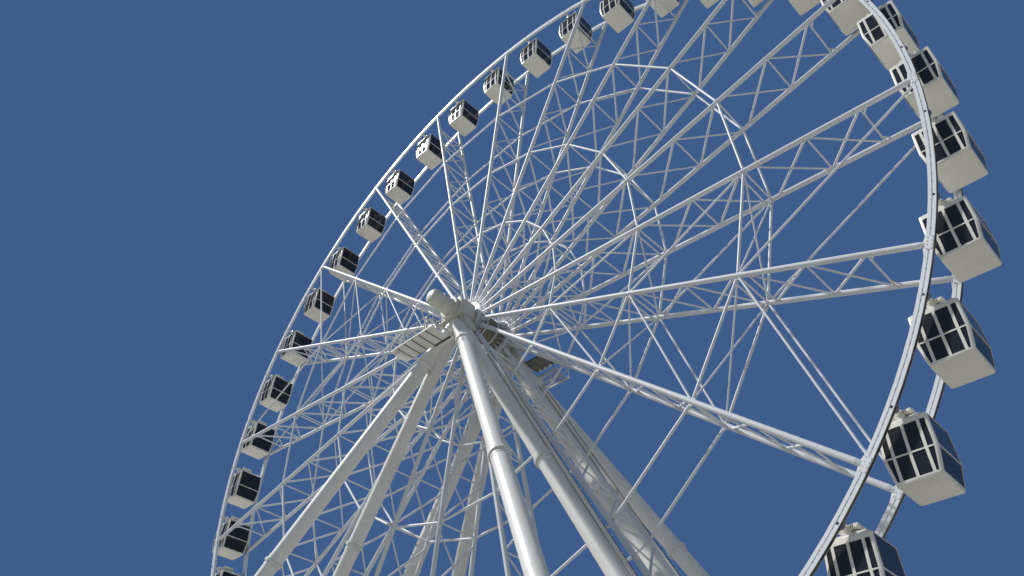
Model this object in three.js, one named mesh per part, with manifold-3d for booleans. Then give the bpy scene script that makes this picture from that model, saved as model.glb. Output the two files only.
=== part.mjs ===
import * as THREE from 'three';
import { mergeVertices } from 'three/addons/utils/BufferGeometryUtils.js';
import { ConvexGeometry } from 'three/addons/geometries/ConvexGeometry.js';
import Module from 'manifold-3d';

const wasm = await Module();
wasm.setup();

// Driving dimensions, in millimetres at half of the real size
const RIM_RADIUS = 13350;
const HUB_HEIGHT = 16090;
const RIM_PLANE_Y = 610;
const SPOKE_COUNT = 20;
const FIRST_SPOKE_DEG = -40.27;
const SEAT_GAP = 0.3;

// Rims
const RIM_CENTRE_RADIUS = RIM_RADIUS + 25;
const RIM_DEPTH = 150;
const RIM_WIDTH = 90;
const RIM_SEGMENTS = 60;

// Spokes, each a ladder truss across the width of the wheel
const SPOKES_PER_FRAME = 5;
const CHORD_SIZE = 130;
const RUNG_SIZE = 76;
const TIE_SIZE = 90;
const BAY_BRACE_SIZE = 76;
const INNER_TIE_RADIUS = 0.475 * RIM_RADIUS;
const OUTER_TIE_RADIUS = 0.705 * RIM_RADIUS;
const RUNG_RADII = [0.13, 0.245, 0.36, 0.475, 0.59, 0.705, 0.808, 0.911].map((part) => part * RIM_RADIUS);
const BRACED_SPOKES = [1, 11];
const BRACE_END_STEP = 150;

// Hub, with the journals that turn in the heads
const HUB_APOTHEM = 600;
const HUB_DISC_HALF_THICKNESS = 80;
const HUB_BARREL_APOTHEM = 400;
const HUB_COLLAR_RADIUS = 290;
const HUB_COLLAR_END_Y = 760;
const JOURNAL_RADIUS = 200;
const JOURNAL_END_Y = 1325;

// Heads, where the four legs of one side meet
const HEAD_INNER_Y = HUB_COLLAR_END_Y + SEAT_GAP;
const HEAD_OUTER_Y = 1330;
const HEAD_DROP = 300;
const HEAD_BLOCK = [{ x: 330, z: 330 }, { x: 430, z: 180 }, { x: 430, z: -320 }];
const HEAD_WEB = [{ x: 420, z: -300 }, { x: 700, z: -900 }];
const HEAD_WEB_HALF_THICKNESS = 150;
const BORE_CUT_PAST = 10;
const LEG_PLANE_Y = 1035;
const OUTER_FLANGE_STEP = 1900;
const INNER_FLANGE_STEP = 2200;

// Legs
const LEG_RADIUS = 200;
const LEG_SIDES = 10;
const OUTER_FOOT_X = 9400;
const OUTER_FOOT_Y = 5520;
const INNER_FOOT_X = 9360;
const LEG_FLANGE_RADIUS = 242;
const LEG_FLANGE_THICKNESS = 70;
const OUTER_LEG_JOINTS = [0.43, 0.74];
const INNER_LEG_JOINTS = [0.37, 0.69];
const FOOT_PLATE_SIZE = 1100;
const FOOT_PLATE_THICKNESS = 120;

// Slip ring housing on the front end of the axle
const SLIP_RING_RADIUS = 258;
const SLIP_RING_LENGTH = 740;
const SLIP_RING_NECK_RADIUS = 360;
const SLIP_RING_NECK_LENGTH = 120;
const SLIP_RING_SIDES = 16;

// Service platforms hung before the heads, measured on the front one
const DECK = { nearX: -350, farX: 1500, nearY: 1720, farY: 2220, low: -1360, high: -1300 };
const DECK_BOX = { nearX: 1120, low: -1650 };
const DECK_ARM = { halfX: 35, low: -890, high: -830 };
const DECK_POST_Y = [{ near: 1760, far: 1840 }, { near: 2120, far: 2200 }];

// Cabins, each about its pivot between the rims
const CABIN_COUNT = 40;
const CABIN_OFFSET_DEG = 4.5;
const CABIN_STEP_DEG = 9;
const CABIN_PIVOT_RADIUS = RIM_RADIUS + 45;
const CABIN_FLOOR = { x: 370, y: 442, z: -1250 };
const CABIN_WAIST = { x: 447, y: 478, z: -775 };
const CABIN_EAVE = { x: 435, y: 463, z: -340 };
const CABIN_FASCIA = { x: 425, y: 455, z: -175 };
const CABIN_ROOF = { x: 385, y: 415, z: -135 };
const CABIN_LEVELS = [CABIN_FLOOR, CABIN_WAIST, CABIN_EAVE, CABIN_FASCIA, CABIN_ROOF];
const ROOF_BOX = { x: 300, y: 320, z: -60 };
const FACE_WINDOW = [{ x: 300, z: -1175 }, { x: 375, z: CABIN_WAIST.z }, { x: 363, z: CABIN_EAVE.z }];
const END_WINDOW = [{ y: 372, z: -1175 }, { y: 405, z: CABIN_WAIST.z }, { y: 390, z: CABIN_EAVE.z }];
const WINDOW_CUT_REACH = 600;
const SHAFT_RADIUS = 45;
const SHAFT_SIDES = 6;
const BRACKET = { x: 80, nearY: 385, farY: 450, low: -200, high: 60 };

// Finishes
const STEEL_WHITE = new THREE.MeshStandardMaterial({ color: 0xd9dcdd, roughness: 0.45, metalness: 0.1 });
const STEEL_SHADE = new THREE.MeshStandardMaterial({ color: 0xb9b9ae, roughness: 0.55, metalness: 0.1 });
const CABIN_WHITE = new THREE.MeshStandardMaterial({ color: 0xd8d5c8, roughness: 0.35, metalness: 0.05 });

const toRadians = THREE.MathUtils.degToRad;
const vector = (x, y, z) => new THREE.Vector3(x, y, z);

// Solids from geometries, and back
function solid(geometry) {
  const bare = new THREE.BufferGeometry();
  bare.setAttribute('position', geometry.getAttribute('position'));
  bare.setIndex(geometry.getIndex());
  const merged = mergeVertices(bare, 0.01);
  const vertProperties = new Float32Array(merged.getAttribute('position').array);
  const triVerts = new Uint32Array(merged.getIndex().array);
  return new wasm.Manifold(new wasm.Mesh({ numProp: 3, vertProperties, triVerts }));
}

function join(solids) {
  return solids.reduce((whole, piece) => whole.add(piece));
}

function geometryOf(body) {
  const mesh = body.getMesh();
  const geometry = new THREE.BufferGeometry();
  geometry.setAttribute('position', new THREE.BufferAttribute(mesh.vertProperties, 3));
  geometry.setIndex(new THREE.BufferAttribute(mesh.triVerts, 1));
  return geometry;
}

function named(name, geometry, material) {
  const mesh = new THREE.Mesh(geometry, material.clone());
  mesh.name = name;
  return mesh;
}

// Straight members between two points
function along(geometry, from, to, side) {
  const direction = to.clone().sub(from).normalize();
  const across = side.clone().addScaledVector(direction, -side.dot(direction)).normalize();
  const third = direction.clone().cross(across);
  const place = new THREE.Matrix4().makeBasis(across, third, direction);
  place.setPosition(from.clone().add(to).multiplyScalar(0.5));
  return geometry.applyMatrix4(place);
}

function bar(from, to, size, side, grow = 0) {
  const length = from.distanceTo(to);
  return solid(along(new THREE.BoxGeometry(size + grow, size + grow, length), from, to, side));
}

function tube(from, to, radius, sides, side) {
  const cylinder = new THREE.CylinderGeometry(radius, radius, from.distanceTo(to), sides);
  cylinder.rotateX(Math.PI / 2);
  return solid(along(cylinder, from, to, side));
}

function box(low, high) {
  const geometry = new THREE.BoxGeometry(high.x - low.x, high.y - low.y, high.z - low.z);
  geometry.translate((high.x + low.x) / 2, (high.y + low.y) / 2, (high.z + low.z) / 2);
  return solid(geometry);
}

// Wheel places, about the middle of the hub
const AXIS = vector(0, 1, 0);
const spokeAngle = (index) => toRadians(FIRST_SPOKE_DEG + (index * 360) / SPOKE_COUNT);
const wheelPoint = (radius, angle, y) => vector(radius * Math.cos(angle), y, radius * Math.sin(angle));
const spokePoint = (radius, index, y) => wheelPoint(radius, spokeAngle(index), y);

// A shape turned about the wheel's axis, its flats square to the spokes, from (apothem, y) pairs
function turned(profile, sides) {
  const circum = 1 / Math.cos(Math.PI / sides);
  const lathe = new THREE.LatheGeometry(
    profile.map(([apothem, y]) => new THREE.Vector2(apothem * circum, y)), sides);
  lathe.rotateY(Math.PI / sides - toRadians(FIRST_SPOKE_DEG) + Math.PI / 2);
  return solid(lathe);
}

function makeRim(y) {
  const inner = RIM_CENTRE_RADIUS - RIM_DEPTH / 2;
  const outer = RIM_CENTRE_RADIUS + RIM_DEPTH / 2;
  const front = y - RIM_WIDTH / 2;
  const back = y + RIM_WIDTH / 2;
  return turned([[inner, front], [outer, front], [outer, back], [inner, back], [inner, front]], RIM_SEGMENTS);
}

// Hub: a barrel between two spoke discs, with a collar and a journal at each end
function makeHub() {
  const half = [
    [HUB_BARREL_APOTHEM, RIM_PLANE_Y - HUB_DISC_HALF_THICKNESS],
    [HUB_APOTHEM, RIM_PLANE_Y - HUB_DISC_HALF_THICKNESS],
    [HUB_APOTHEM, RIM_PLANE_Y + HUB_DISC_HALF_THICKNESS],
    [HUB_COLLAR_RADIUS, RIM_PLANE_Y + HUB_DISC_HALF_THICKNESS],
    [HUB_COLLAR_RADIUS, HUB_COLLAR_END_Y],
    [JOURNAL_RADIUS, HUB_COLLAR_END_Y],
    [JOURNAL_RADIUS, JOURNAL_END_Y],
    [0, JOURNAL_END_Y],
  ];
  const mirrored = half.map(([radius, y]) => [radius, -y]).reverse();
  return turned([...mirrored, ...half], SPOKE_COUNT);
}

function makeChord(index, y, grow = 0) {
  const inner = spokePoint(HUB_APOTHEM + SEAT_GAP, index, y);
  const outer = spokePoint(RIM_CENTRE_RADIUS - RIM_DEPTH / 2 - SEAT_GAP, index, y);
  return bar(inner, outer, CHORD_SIZE, AXIS, grow);
}

function makeTie(index, radius, y) {
  return bar(spokePoint(radius, index, y), spokePoint(radius, index + 1, y), TIE_SIZE, AXIS);
}

// The pair of long braces from one spoke's ties out to its neighbours
function makeBayBraces(index, y) {
  const rimEnd = RIM_CENTRE_RADIUS - RIM_DEPTH / 2 - BRACE_END_STEP;
  const starts = [[OUTER_TIE_RADIUS, rimEnd], [INNER_TIE_RADIUS, OUTER_TIE_RADIUS]];
  return starts.flatMap(([from, to]) => [-1, 1].map((side) => bar(
    spokePoint(from, index, y), spokePoint(to, index + side, y), BAY_BRACE_SIZE, AXIS)));
}

// Five neighbouring spokes with the ties that join them
function makeSpokeFrame(first) {
  const pieces = [];
  for (let step = 0; step < SPOKES_PER_FRAME; step += 1) {
    const index = first + step;
    const isLast = step === SPOKES_PER_FRAME - 1;
    for (const y of [-RIM_PLANE_Y, RIM_PLANE_Y]) {
      pieces.push(makeChord(index, y));
      for (const radius of [INNER_TIE_RADIUS, OUTER_TIE_RADIUS]) {
        const tie = makeTie(index, radius, y);
        pieces.push(isLast ? tie.subtract(makeChord(index + 1, y, 2 * SEAT_GAP)) : tie);
      }
      if (BRACED_SPOKES.includes(index)) {
        pieces.push(...makeBayBraces(index, y));
      }
    }
    for (const radius of RUNG_RADII) {
      const front = spokePoint(radius, index, -RIM_PLANE_Y);
      const back = spokePoint(radius, index, RIM_PLANE_Y);
      pieces.push(bar(front, back, RUNG_SIZE, spokePoint(1, index, 0)));
    }
  }
  return join(pieces);
}

// Legs, from the head of one side to their feet, about the middle of the hub
function legLine(sideX, sideY, isOuter) {
  const top = vector(0, sideY * LEG_PLANE_Y, -HEAD_DROP);
  const footX = sideX * (isOuter ? OUTER_FOOT_X : INNER_FOOT_X);
  const footY = sideY * (isOuter ? OUTER_FOOT_Y : LEG_PLANE_Y);
  const flangeStep = isOuter ? OUTER_FLANGE_STEP : INNER_FLANGE_STEP;
  const joints = isOuter ? OUTER_LEG_JOINTS : INNER_LEG_JOINTS;
  return { top, foot: vector(footX, footY, -HUB_HEIGHT), flangeStep, joints };
}

function legPoint(line, distance) {
  const direction = line.foot.clone().sub(line.top).normalize();
  return line.top.clone().addScaledVector(direction, distance);
}

function makeLeg(line) {
  const length = line.top.distanceTo(line.foot);
  const start = line.flangeStep + SEAT_GAP;
  const pipe = tube(legPoint(line, start), legPoint(line, length + LEG_RADIUS), LEG_RADIUS, LEG_SIDES, AXIS);
  const topFlange = tube(
    legPoint(line, start), legPoint(line, start + LEG_FLANGE_THICKNESS), LEG_FLANGE_RADIUS, LEG_SIDES, AXIS);
  const joints = line.joints.map((part) => tube(
    legPoint(line, part * length), legPoint(line, part * length + 2 * LEG_FLANGE_THICKNESS),
    LEG_FLANGE_RADIUS, LEG_SIDES, AXIS));
  const half = FOOT_PLATE_SIZE / 2;
  const { x, y } = line.foot;
  const plate = box(
    vector(x - half, y - half, -HUB_HEIGHT), vector(x + half, y + half, -HUB_HEIGHT + FOOT_PLATE_THICKNESS));
  const buried = box(
    vector(x - half, y - half, -HUB_HEIGHT - half),
    vector(x + half, y + half, -HUB_HEIGHT + FOOT_PLATE_THICKNESS / 2));
  return join([pipe.subtract(buried), topFlange, ...joints, plate]);
}

// A convex outline mirrored left to right and drawn out along the axle
function prism(outline, low, high) {
  return solid(new ConvexGeometry(outline.flatMap(
    ({ x, z }) => [vector(x, low, z), vector(x, high, z), vector(-x, low, z), vector(-x, high, z)])));
}

// A head: the bearing block of one side, the web below it and the stubs of its four legs
function makeHead(sideY) {
  const low = Math.min(sideY * HEAD_INNER_Y, sideY * HEAD_OUTER_Y);
  const high = Math.max(sideY * HEAD_INNER_Y, sideY * HEAD_OUTER_Y);
  const middle = sideY * LEG_PLANE_Y;
  const block = prism(HEAD_BLOCK, low, high);
  const web = prism(HEAD_WEB, middle - HEAD_WEB_HALF_THICKNESS, middle + HEAD_WEB_HALF_THICKNESS);
  const stubs = [-1, 1].flatMap((sideX) => [true, false].map((isOuter) => {
    const line = legLine(sideX, sideY, isOuter);
    return tube(legPoint(line, 0), legPoint(line, line.flangeStep), LEG_RADIUS, LEG_SIDES, AXIS);
  }));
  const bore = JOURNAL_RADIUS / Math.cos(Math.PI / SPOKE_COUNT) + SEAT_GAP;
  const ends = [low - BORE_CUT_PAST, high + BORE_CUT_PAST];
  const seat = turned([[0, ends[0]], [bore, ends[0]], [bore, ends[1]], [0, ends[1]]], SPOKE_COUNT);
  return join([block, web, ...stubs]).subtract(seat);
}

function makeSlipRing() {
  const near = -HEAD_OUTER_Y - SEAT_GAP;
  const neckEnd = near - SLIP_RING_NECK_LENGTH;
  const up = vector(0, 0, 1);
  const neck = tube(
    vector(0, near, 0), vector(0, neckEnd, 0), SLIP_RING_NECK_RADIUS, SLIP_RING_SIDES, up);
  const drum = tube(
    vector(0, (near + neckEnd) / 2, 0), vector(0, neckEnd - SLIP_RING_LENGTH, 0), SLIP_RING_RADIUS,
    SLIP_RING_SIDES, up);
  return neck.add(drum);
}

// A service platform: its deck, the box under the far end, and the posts and arm that hang it on the head
function makePlatform(side) {
  const slab = (nearX, farX, nearY, farY, low, high) => box(
    vector(Math.min(side * nearX, side * farX), Math.min(side * nearY, side * farY), low),
    vector(Math.max(side * nearX, side * farX), Math.max(side * nearY, side * farY), high));
  const { nearX, farX, nearY, farY, low, high } = DECK;
  const { halfX } = DECK_ARM;
  const web = LEG_PLANE_Y + HEAD_WEB_HALF_THICKNESS + SEAT_GAP;
  const posts = DECK_POST_Y.map((post) => slab(-halfX, halfX, post.near, post.far, low, DECK_ARM.high));
  return join([
    slab(nearX, farX, nearY, farY, low, high),
    slab(DECK_BOX.nearX, farX, nearY, farY, DECK_BOX.low, high),
    slab(-halfX, halfX, web, farY, DECK_ARM.low, DECK_ARM.high),
    ...posts,
  ]);
}

// A cabin about its pivot: a faceted shell with its windows cut through, hung from two stub shafts
function rectangle(x, y, z) {
  return [vector(x, y, z), vector(-x, y, z), vector(x, -y, z), vector(-x, -y, z)];
}

function makeCabin() {
  const shell = solid(new ConvexGeometry(
    CABIN_LEVELS.flatMap(({ x, y, z }) => rectangle(x, y, z))));
  const faceWindows = solid(new ConvexGeometry(
    FACE_WINDOW.flatMap(({ x, z }) => rectangle(x, WINDOW_CUT_REACH, z))));
  const endWindows = solid(new ConvexGeometry(
    END_WINDOW.flatMap(({ y, z }) => rectangle(WINDOW_CUT_REACH, y, z))));
  const roofBox = box(
    vector(-ROOF_BOX.x, -ROOF_BOX.y, CABIN_FASCIA.z), vector(ROOF_BOX.x, ROOF_BOX.y, ROOF_BOX.z));
  const hangers = [-1, 1].flatMap((side) => {
    const ends = [side * BRACKET.nearY, side * BRACKET.farY].sort((a, b) => a - b);
    const bracket = box(
      vector(-BRACKET.x, ends[0], BRACKET.low), vector(BRACKET.x, ends[1], BRACKET.high));
    const shaftEnd = RIM_PLANE_Y - RIM_WIDTH / 2 - SEAT_GAP;
    const shaft = tube(
      vector(0, side * (BRACKET.nearY - SHAFT_RADIUS), 0), vector(0, side * shaftEnd, 0), SHAFT_RADIUS,
      SHAFT_SIDES, vector(1, 0, 0));
    return [bracket, shaft];
  });
  return join([shell.subtract(faceWindows).subtract(endWindows), roofBox, ...hangers]);
}

// The assembly
const wheel = new THREE.Group();
wheel.position.z = HUB_HEIGHT;
wheel.add(named('front_rim', geometryOf(makeRim(-RIM_PLANE_Y)), STEEL_WHITE));
wheel.add(named('back_rim', geometryOf(makeRim(RIM_PLANE_Y)), STEEL_WHITE));
wheel.add(named('hub_drum', geometryOf(makeHub()), STEEL_WHITE));
for (let first = 0; first < SPOKE_COUNT; first += SPOKES_PER_FRAME) {
  const name = `spoke_frame_${first / SPOKES_PER_FRAME + 1}`;
  wheel.add(named(name, geometryOf(makeSpokeFrame(first)), STEEL_WHITE));
}

const support = new THREE.Group();
support.position.z = HUB_HEIGHT;
support.add(named('slip_ring_housing', geometryOf(makeSlipRing()), STEEL_WHITE));
for (const [sideY, sideName] of [[-1, 'front'], [1, 'back']]) {
  support.add(named(`${sideName}_head`, geometryOf(makeHead(sideY)), STEEL_SHADE));
  support.add(named(`${sideName}_platform`, geometryOf(makePlatform(sideY)), STEEL_SHADE));
  for (const [sideX, hand] of [[-1, 'left'], [1, 'right']]) {
    for (const isOuter of [true, false]) {
      const name = `${sideName}_${hand}_${isOuter ? 'outer' : 'inner'}_leg`;
      support.add(named(name, geometryOf(makeLeg(legLine(sideX, sideY, isOuter))), STEEL_WHITE));
    }
  }
}

const cabins = new THREE.Group();
cabins.position.z = HUB_HEIGHT;
const cabinGeometry = geometryOf(makeCabin());
for (let index = 0; index < CABIN_COUNT; index += 1) {
  const angle = toRadians(FIRST_SPOKE_DEG + CABIN_OFFSET_DEG + index * CABIN_STEP_DEG);
  const cabin = named(`cabin_${String(index + 1).padStart(2, '0')}`, cabinGeometry, CABIN_WHITE);
  cabin.position.copy(wheelPoint(CABIN_PIVOT_RADIUS, angle, 0));
  cabins.add(cabin);
}

const ferrisWheel = new THREE.Group();
ferrisWheel.add(support, wheel, cabins);

export default ferrisWheel;
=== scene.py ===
# %% [markdown]
# # A large observation wheel, dressed in Blender
#
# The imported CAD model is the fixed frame: it gives the legs, the heads, the hub, the rims, the
# trussed spokes and forty cabins their places. Here each of them gets the shape and the finish
# that somebody standing below the real wheel would see.
# Every piece made here rides on a body of the frame, so the dressed wheel turns as the CAD does.

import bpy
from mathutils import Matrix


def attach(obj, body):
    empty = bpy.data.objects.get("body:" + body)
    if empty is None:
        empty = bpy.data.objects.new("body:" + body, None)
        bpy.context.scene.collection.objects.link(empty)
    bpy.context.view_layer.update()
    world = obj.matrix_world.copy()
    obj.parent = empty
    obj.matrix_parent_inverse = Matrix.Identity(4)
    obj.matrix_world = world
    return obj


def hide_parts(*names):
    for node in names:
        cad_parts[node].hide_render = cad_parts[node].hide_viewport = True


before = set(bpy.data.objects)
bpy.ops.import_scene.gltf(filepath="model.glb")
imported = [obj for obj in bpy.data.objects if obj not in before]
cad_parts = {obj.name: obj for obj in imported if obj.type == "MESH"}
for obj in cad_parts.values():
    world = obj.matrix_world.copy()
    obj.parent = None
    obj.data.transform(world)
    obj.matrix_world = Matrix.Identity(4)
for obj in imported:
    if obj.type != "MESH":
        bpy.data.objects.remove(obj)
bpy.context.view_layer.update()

# %% Tools of the trade
import math

import bmesh
import bpy
from mathutils import Matrix, Vector

scene = bpy.context.scene

# %% [markdown]
# ## Where the photographer stood
#
# The camera stands close to the right hand feet and looks up steeply, past the hub, held a couple
# of degrees off level. A Track To constraint could aim it, but it can't roll: a rotation matrix
# whose columns are the camera's right, up and backward directions says it all at once.

# %% Camera
CAMERA_PLACE = Vector((14.418, -12.831, 0.806))
CAMERA_RIGHT = Vector((0.71358, 0.69998, 0.02894))
CAMERA_UP = Vector((0.44798, -0.48766, 0.74934))
CAMERA_LENS_MM, CAMERA_SENSOR_MM = 28.33, 36.0
CAMERA_REACH = 500.0

camera = bpy.data.objects.new("camera", bpy.data.cameras.new("camera"))
scene.collection.objects.link(camera)
camera.data.lens = CAMERA_LENS_MM
camera.data.sensor_width = CAMERA_SENSOR_MM
camera.data.clip_end = CAMERA_REACH
camera.location = CAMERA_PLACE
camera_back = CAMERA_RIGHT.cross(CAMERA_UP).normalized()
camera_turn = Matrix((CAMERA_RIGHT, CAMERA_UP, camera_back)).transposed()
camera.rotation_euler = camera_turn.to_euler()
scene.camera = camera
print("camera looks up by", round(math.degrees(math.asin(-camera_back.z)), 1), "degrees")

# %% [markdown]
# ## Floor, light and backdrop
#
# From below, most of the steel is lit by what the ground throws back, so the floor is large, pale
# and a little warm. One soft sun from the front left gives the bright edges on tubes and rims.
# The backdrop is one plain blue that the camera and all reflections see: a Light Path node keeps
# that colour out of the sky's own light, which is paler.

# %% Floor
FLOOR_RADIUS, FLOOR_STEPS = 120.0, 96
FLOOR_COLOR = (0.37, 0.355, 0.315, 1.0)

floor_bm = bmesh.new()
bmesh.ops.create_circle(floor_bm, cap_ends=True, segments=FLOOR_STEPS, radius=FLOOR_RADIUS)
floor_mesh = bpy.data.meshes.new("floor")
floor_bm.to_mesh(floor_mesh)
floor_bm.free()
floor = bpy.data.objects.new("floor", floor_mesh)
scene.collection.objects.link(floor)

floor_finish = bpy.data.materials.new("pale_floor")
floor_finish.use_nodes = True
floor_shader = floor_finish.node_tree.nodes["Principled BSDF"]
floor_shader.inputs["Base Color"].default_value = FLOOR_COLOR
floor_shader.inputs["Roughness"].default_value = 0.9
floor_mesh.materials.append(floor_finish)
print("floor radius", FLOOR_RADIUS, "m")

# %% Sun and sky light
SUN_FROM = Vector((-0.62, -0.42, 0.86))
SUN_STRENGTH = 4.1
SUN_ANGLE_DEG = 3.0
SUN_COLOR = (1.0, 0.985, 0.96)
SKY_LIGHT = (0.56, 0.74, 1.0, 1.0)
SKY_STRENGTH = 0.28
BACKDROP = (0.049, 0.110, 0.260, 1.0)

sun = bpy.data.objects.new("sun", bpy.data.lights.new("sun", "SUN"))
scene.collection.objects.link(sun)
sun.data.energy = SUN_STRENGTH
sun.data.angle = math.radians(SUN_ANGLE_DEG)
sun.data.color = SUN_COLOR
sun.rotation_euler = (-SUN_FROM).to_track_quat("-Z", "Y").to_euler()

world = bpy.data.worlds.new("studio")
scene.world = world
world.use_nodes = True
sky = world.node_tree
sky.nodes.clear()
sky_out = sky.nodes.new("ShaderNodeOutputWorld")
sky_mix = sky.nodes.new("ShaderNodeMixShader")
sky_path = sky.nodes.new("ShaderNodeLightPath")
sky_light = sky.nodes.new("ShaderNodeBackground")
sky_seen = sky.nodes.new("ShaderNodeBackground")
sky_light.inputs["Color"].default_value = SKY_LIGHT
sky_light.inputs["Strength"].default_value = SKY_STRENGTH
sky_seen.inputs["Color"].default_value = BACKDROP
sky_sight = sky.nodes.new("ShaderNodeMath")
sky_sight.operation = "MAXIMUM"
sky.links.new(sky_path.outputs["Is Camera Ray"], sky_sight.inputs[0])
sky.links.new(sky_path.outputs["Is Glossy Ray"], sky_sight.inputs[1])
sky.links.new(sky_sight.outputs[0], sky_mix.inputs["Fac"])
sky.links.new(sky_light.outputs["Background"], sky_mix.inputs[1])
sky.links.new(sky_seen.outputs["Background"], sky_mix.inputs[2])
sky.links.new(sky_mix.outputs["Shader"], sky_out.inputs["Surface"])
scene.view_settings.view_transform = "Standard"
print("sun strength", SUN_STRENGTH, "sky strength", SKY_STRENGTH)

# %% [markdown]
# ## Weathered paint, made once
#
# Outdoor paint is never one colour: it fades in broad patches, rain draws grime down it, and it
# has a fine orange peel. Three noise textures could be wired up in each material again and again.
# A node group with named sockets does it once, and each finish then sets its own values.
# The group reads Object coordinates, so the pattern stays on the piece as the wheel turns.

# %% Node group: weathered paint
def add_socket(group, name, direction, kind, value=None):
    made = group.interface.new_socket(name=name, in_out=direction, socket_type=kind)
    if value is not None:
        made.default_value = value


def make_weathering():
    group = bpy.data.node_groups.new("weathered_paint", "ShaderNodeTree")
    add_socket(group, "Paint", "INPUT", "NodeSocketColor", (0.8, 0.8, 0.8, 1.0))
    add_socket(group, "Grime Color", "INPUT", "NodeSocketColor", (0.2, 0.19, 0.16, 1.0))
    add_socket(group, "Grime", "INPUT", "NodeSocketFloat", 0.3)
    add_socket(group, "Streaks", "INPUT", "NodeSocketFloat", 0.3)
    add_socket(group, "Patch Scale", "INPUT", "NodeSocketFloat", 1.0)
    add_socket(group, "Gloss Roughness", "INPUT", "NodeSocketFloat", 0.35)
    add_socket(group, "Color", "OUTPUT", "NodeSocketColor")
    add_socket(group, "Roughness", "OUTPUT", "NodeSocketFloat")
    add_socket(group, "Height", "OUTPUT", "NodeSocketFloat")
    nodes, links = group.nodes, group.links
    source = nodes.new("NodeGroupInput")
    result = nodes.new("NodeGroupOutput")
    place = nodes.new("ShaderNodeTexCoord")

    patch = nodes.new("ShaderNodeTexNoise")
    patch.inputs["Detail"].default_value = 6.0
    patch.inputs["Roughness"].default_value = 0.62
    links.new(place.outputs["Object"], patch.inputs["Vector"])
    links.new(source.outputs["Patch Scale"], patch.inputs["Scale"])

    stretch = nodes.new("ShaderNodeMapping")
    stretch.inputs["Scale"].default_value = (14.0, 14.0, 0.8)
    links.new(place.outputs["Object"], stretch.inputs["Vector"])
    streak = nodes.new("ShaderNodeTexNoise")
    streak.inputs["Scale"].default_value = 1.0
    streak.inputs["Detail"].default_value = 4.0
    links.new(stretch.outputs["Vector"], streak.inputs["Vector"])

    peel = nodes.new("ShaderNodeTexNoise")
    peel.inputs["Scale"].default_value = 55.0
    peel.inputs["Detail"].default_value = 3.0
    links.new(place.outputs["Object"], peel.inputs["Vector"])

    def masked(texture, low, high, amount):
        spread = nodes.new("ShaderNodeMapRange")
        spread.interpolation_type = "SMOOTHSTEP"
        spread.inputs["From Min"].default_value = low
        spread.inputs["From Max"].default_value = high
        links.new(texture.outputs["Fac"], spread.inputs["Value"])
        strength = nodes.new("ShaderNodeMath")
        strength.operation = "MULTIPLY"
        links.new(spread.outputs["Result"], strength.inputs[0])
        links.new(source.outputs[amount], strength.inputs[1])
        return strength

    both = nodes.new("ShaderNodeMath")
    both.operation = "MAXIMUM"
    links.new(masked(patch, 0.42, 0.75, "Grime").outputs[0], both.inputs[0])
    links.new(masked(streak, 0.5, 0.8, "Streaks").outputs[0], both.inputs[1])

    tint = nodes.new("ShaderNodeMix")
    tint.data_type = "RGBA"
    links.new(both.outputs[0], tint.inputs["Factor"])
    links.new(source.outputs["Paint"], tint.inputs["A"])
    links.new(source.outputs["Grime Color"], tint.inputs["B"])
    links.new(tint.outputs["Result"], result.inputs["Color"])

    dull = nodes.new("ShaderNodeMath")
    dull.operation = "MULTIPLY_ADD"
    dull.inputs[1].default_value = 0.45
    links.new(both.outputs[0], dull.inputs[0])
    links.new(source.outputs["Gloss Roughness"], dull.inputs[2])
    links.new(dull.outputs[0], result.inputs["Roughness"])
    links.new(peel.outputs["Fac"], result.inputs["Height"])
    return group


weathering = make_weathering()
print("weathered paint uses", len(weathering.nodes), "nodes")

# %% [markdown]
# ## Rubbed edges
#
# Spanners, ropes and weather take the paint off corners first. Pointiness is a value that Cycles
# has at each vertex: high on outward corners. Broken up by a noise it makes a thin, uneven line of
# worn primer along edges. A Bevel node could find edges too, but it costs far more time.

# %% Node group: rubbed edges
def make_edge_wear():
    group = bpy.data.node_groups.new("rubbed_edges", "ShaderNodeTree")
    add_socket(group, "Color", "INPUT", "NodeSocketColor", (0.8, 0.8, 0.8, 1.0))
    add_socket(group, "Worn Color", "INPUT", "NodeSocketColor", (0.4, 0.4, 0.4, 1.0))
    add_socket(group, "Amount", "INPUT", "NodeSocketFloat", 0.5)
    add_socket(group, "Color", "OUTPUT", "NodeSocketColor")
    nodes, links = group.nodes, group.links
    source = nodes.new("NodeGroupInput")
    result = nodes.new("NodeGroupOutput")
    place = nodes.new("ShaderNodeTexCoord")
    corner = nodes.new("ShaderNodeNewGeometry")
    chips = nodes.new("ShaderNodeTexNoise")
    chips.inputs["Scale"].default_value = 18.0
    chips.inputs["Detail"].default_value = 5.0
    links.new(place.outputs["Object"], chips.inputs["Vector"])
    edge = nodes.new("ShaderNodeMapRange")
    edge.inputs["From Min"].default_value = 0.54
    edge.inputs["From Max"].default_value = 0.64
    links.new(corner.outputs["Pointiness"], edge.inputs["Value"])
    broken = nodes.new("ShaderNodeMath")
    broken.operation = "MULTIPLY"
    links.new(edge.outputs["Result"], broken.inputs[0])
    links.new(chips.outputs["Fac"], broken.inputs[1])
    strength = nodes.new("ShaderNodeMath")
    strength.operation = "MULTIPLY"
    links.new(broken.outputs[0], strength.inputs[0])
    links.new(source.outputs["Amount"], strength.inputs[1])
    tint = nodes.new("ShaderNodeMix")
    tint.data_type = "RGBA"
    links.new(strength.outputs[0], tint.inputs["Factor"])
    links.new(source.outputs["Color"], tint.inputs["A"])
    links.new(source.outputs["Worn Color"], tint.inputs["B"])
    links.new(tint.outputs["Result"], result.inputs["Color"])
    return group


edge_wear = make_edge_wear()
print("rubbed edges uses", len(edge_wear.nodes), "nodes")

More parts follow.
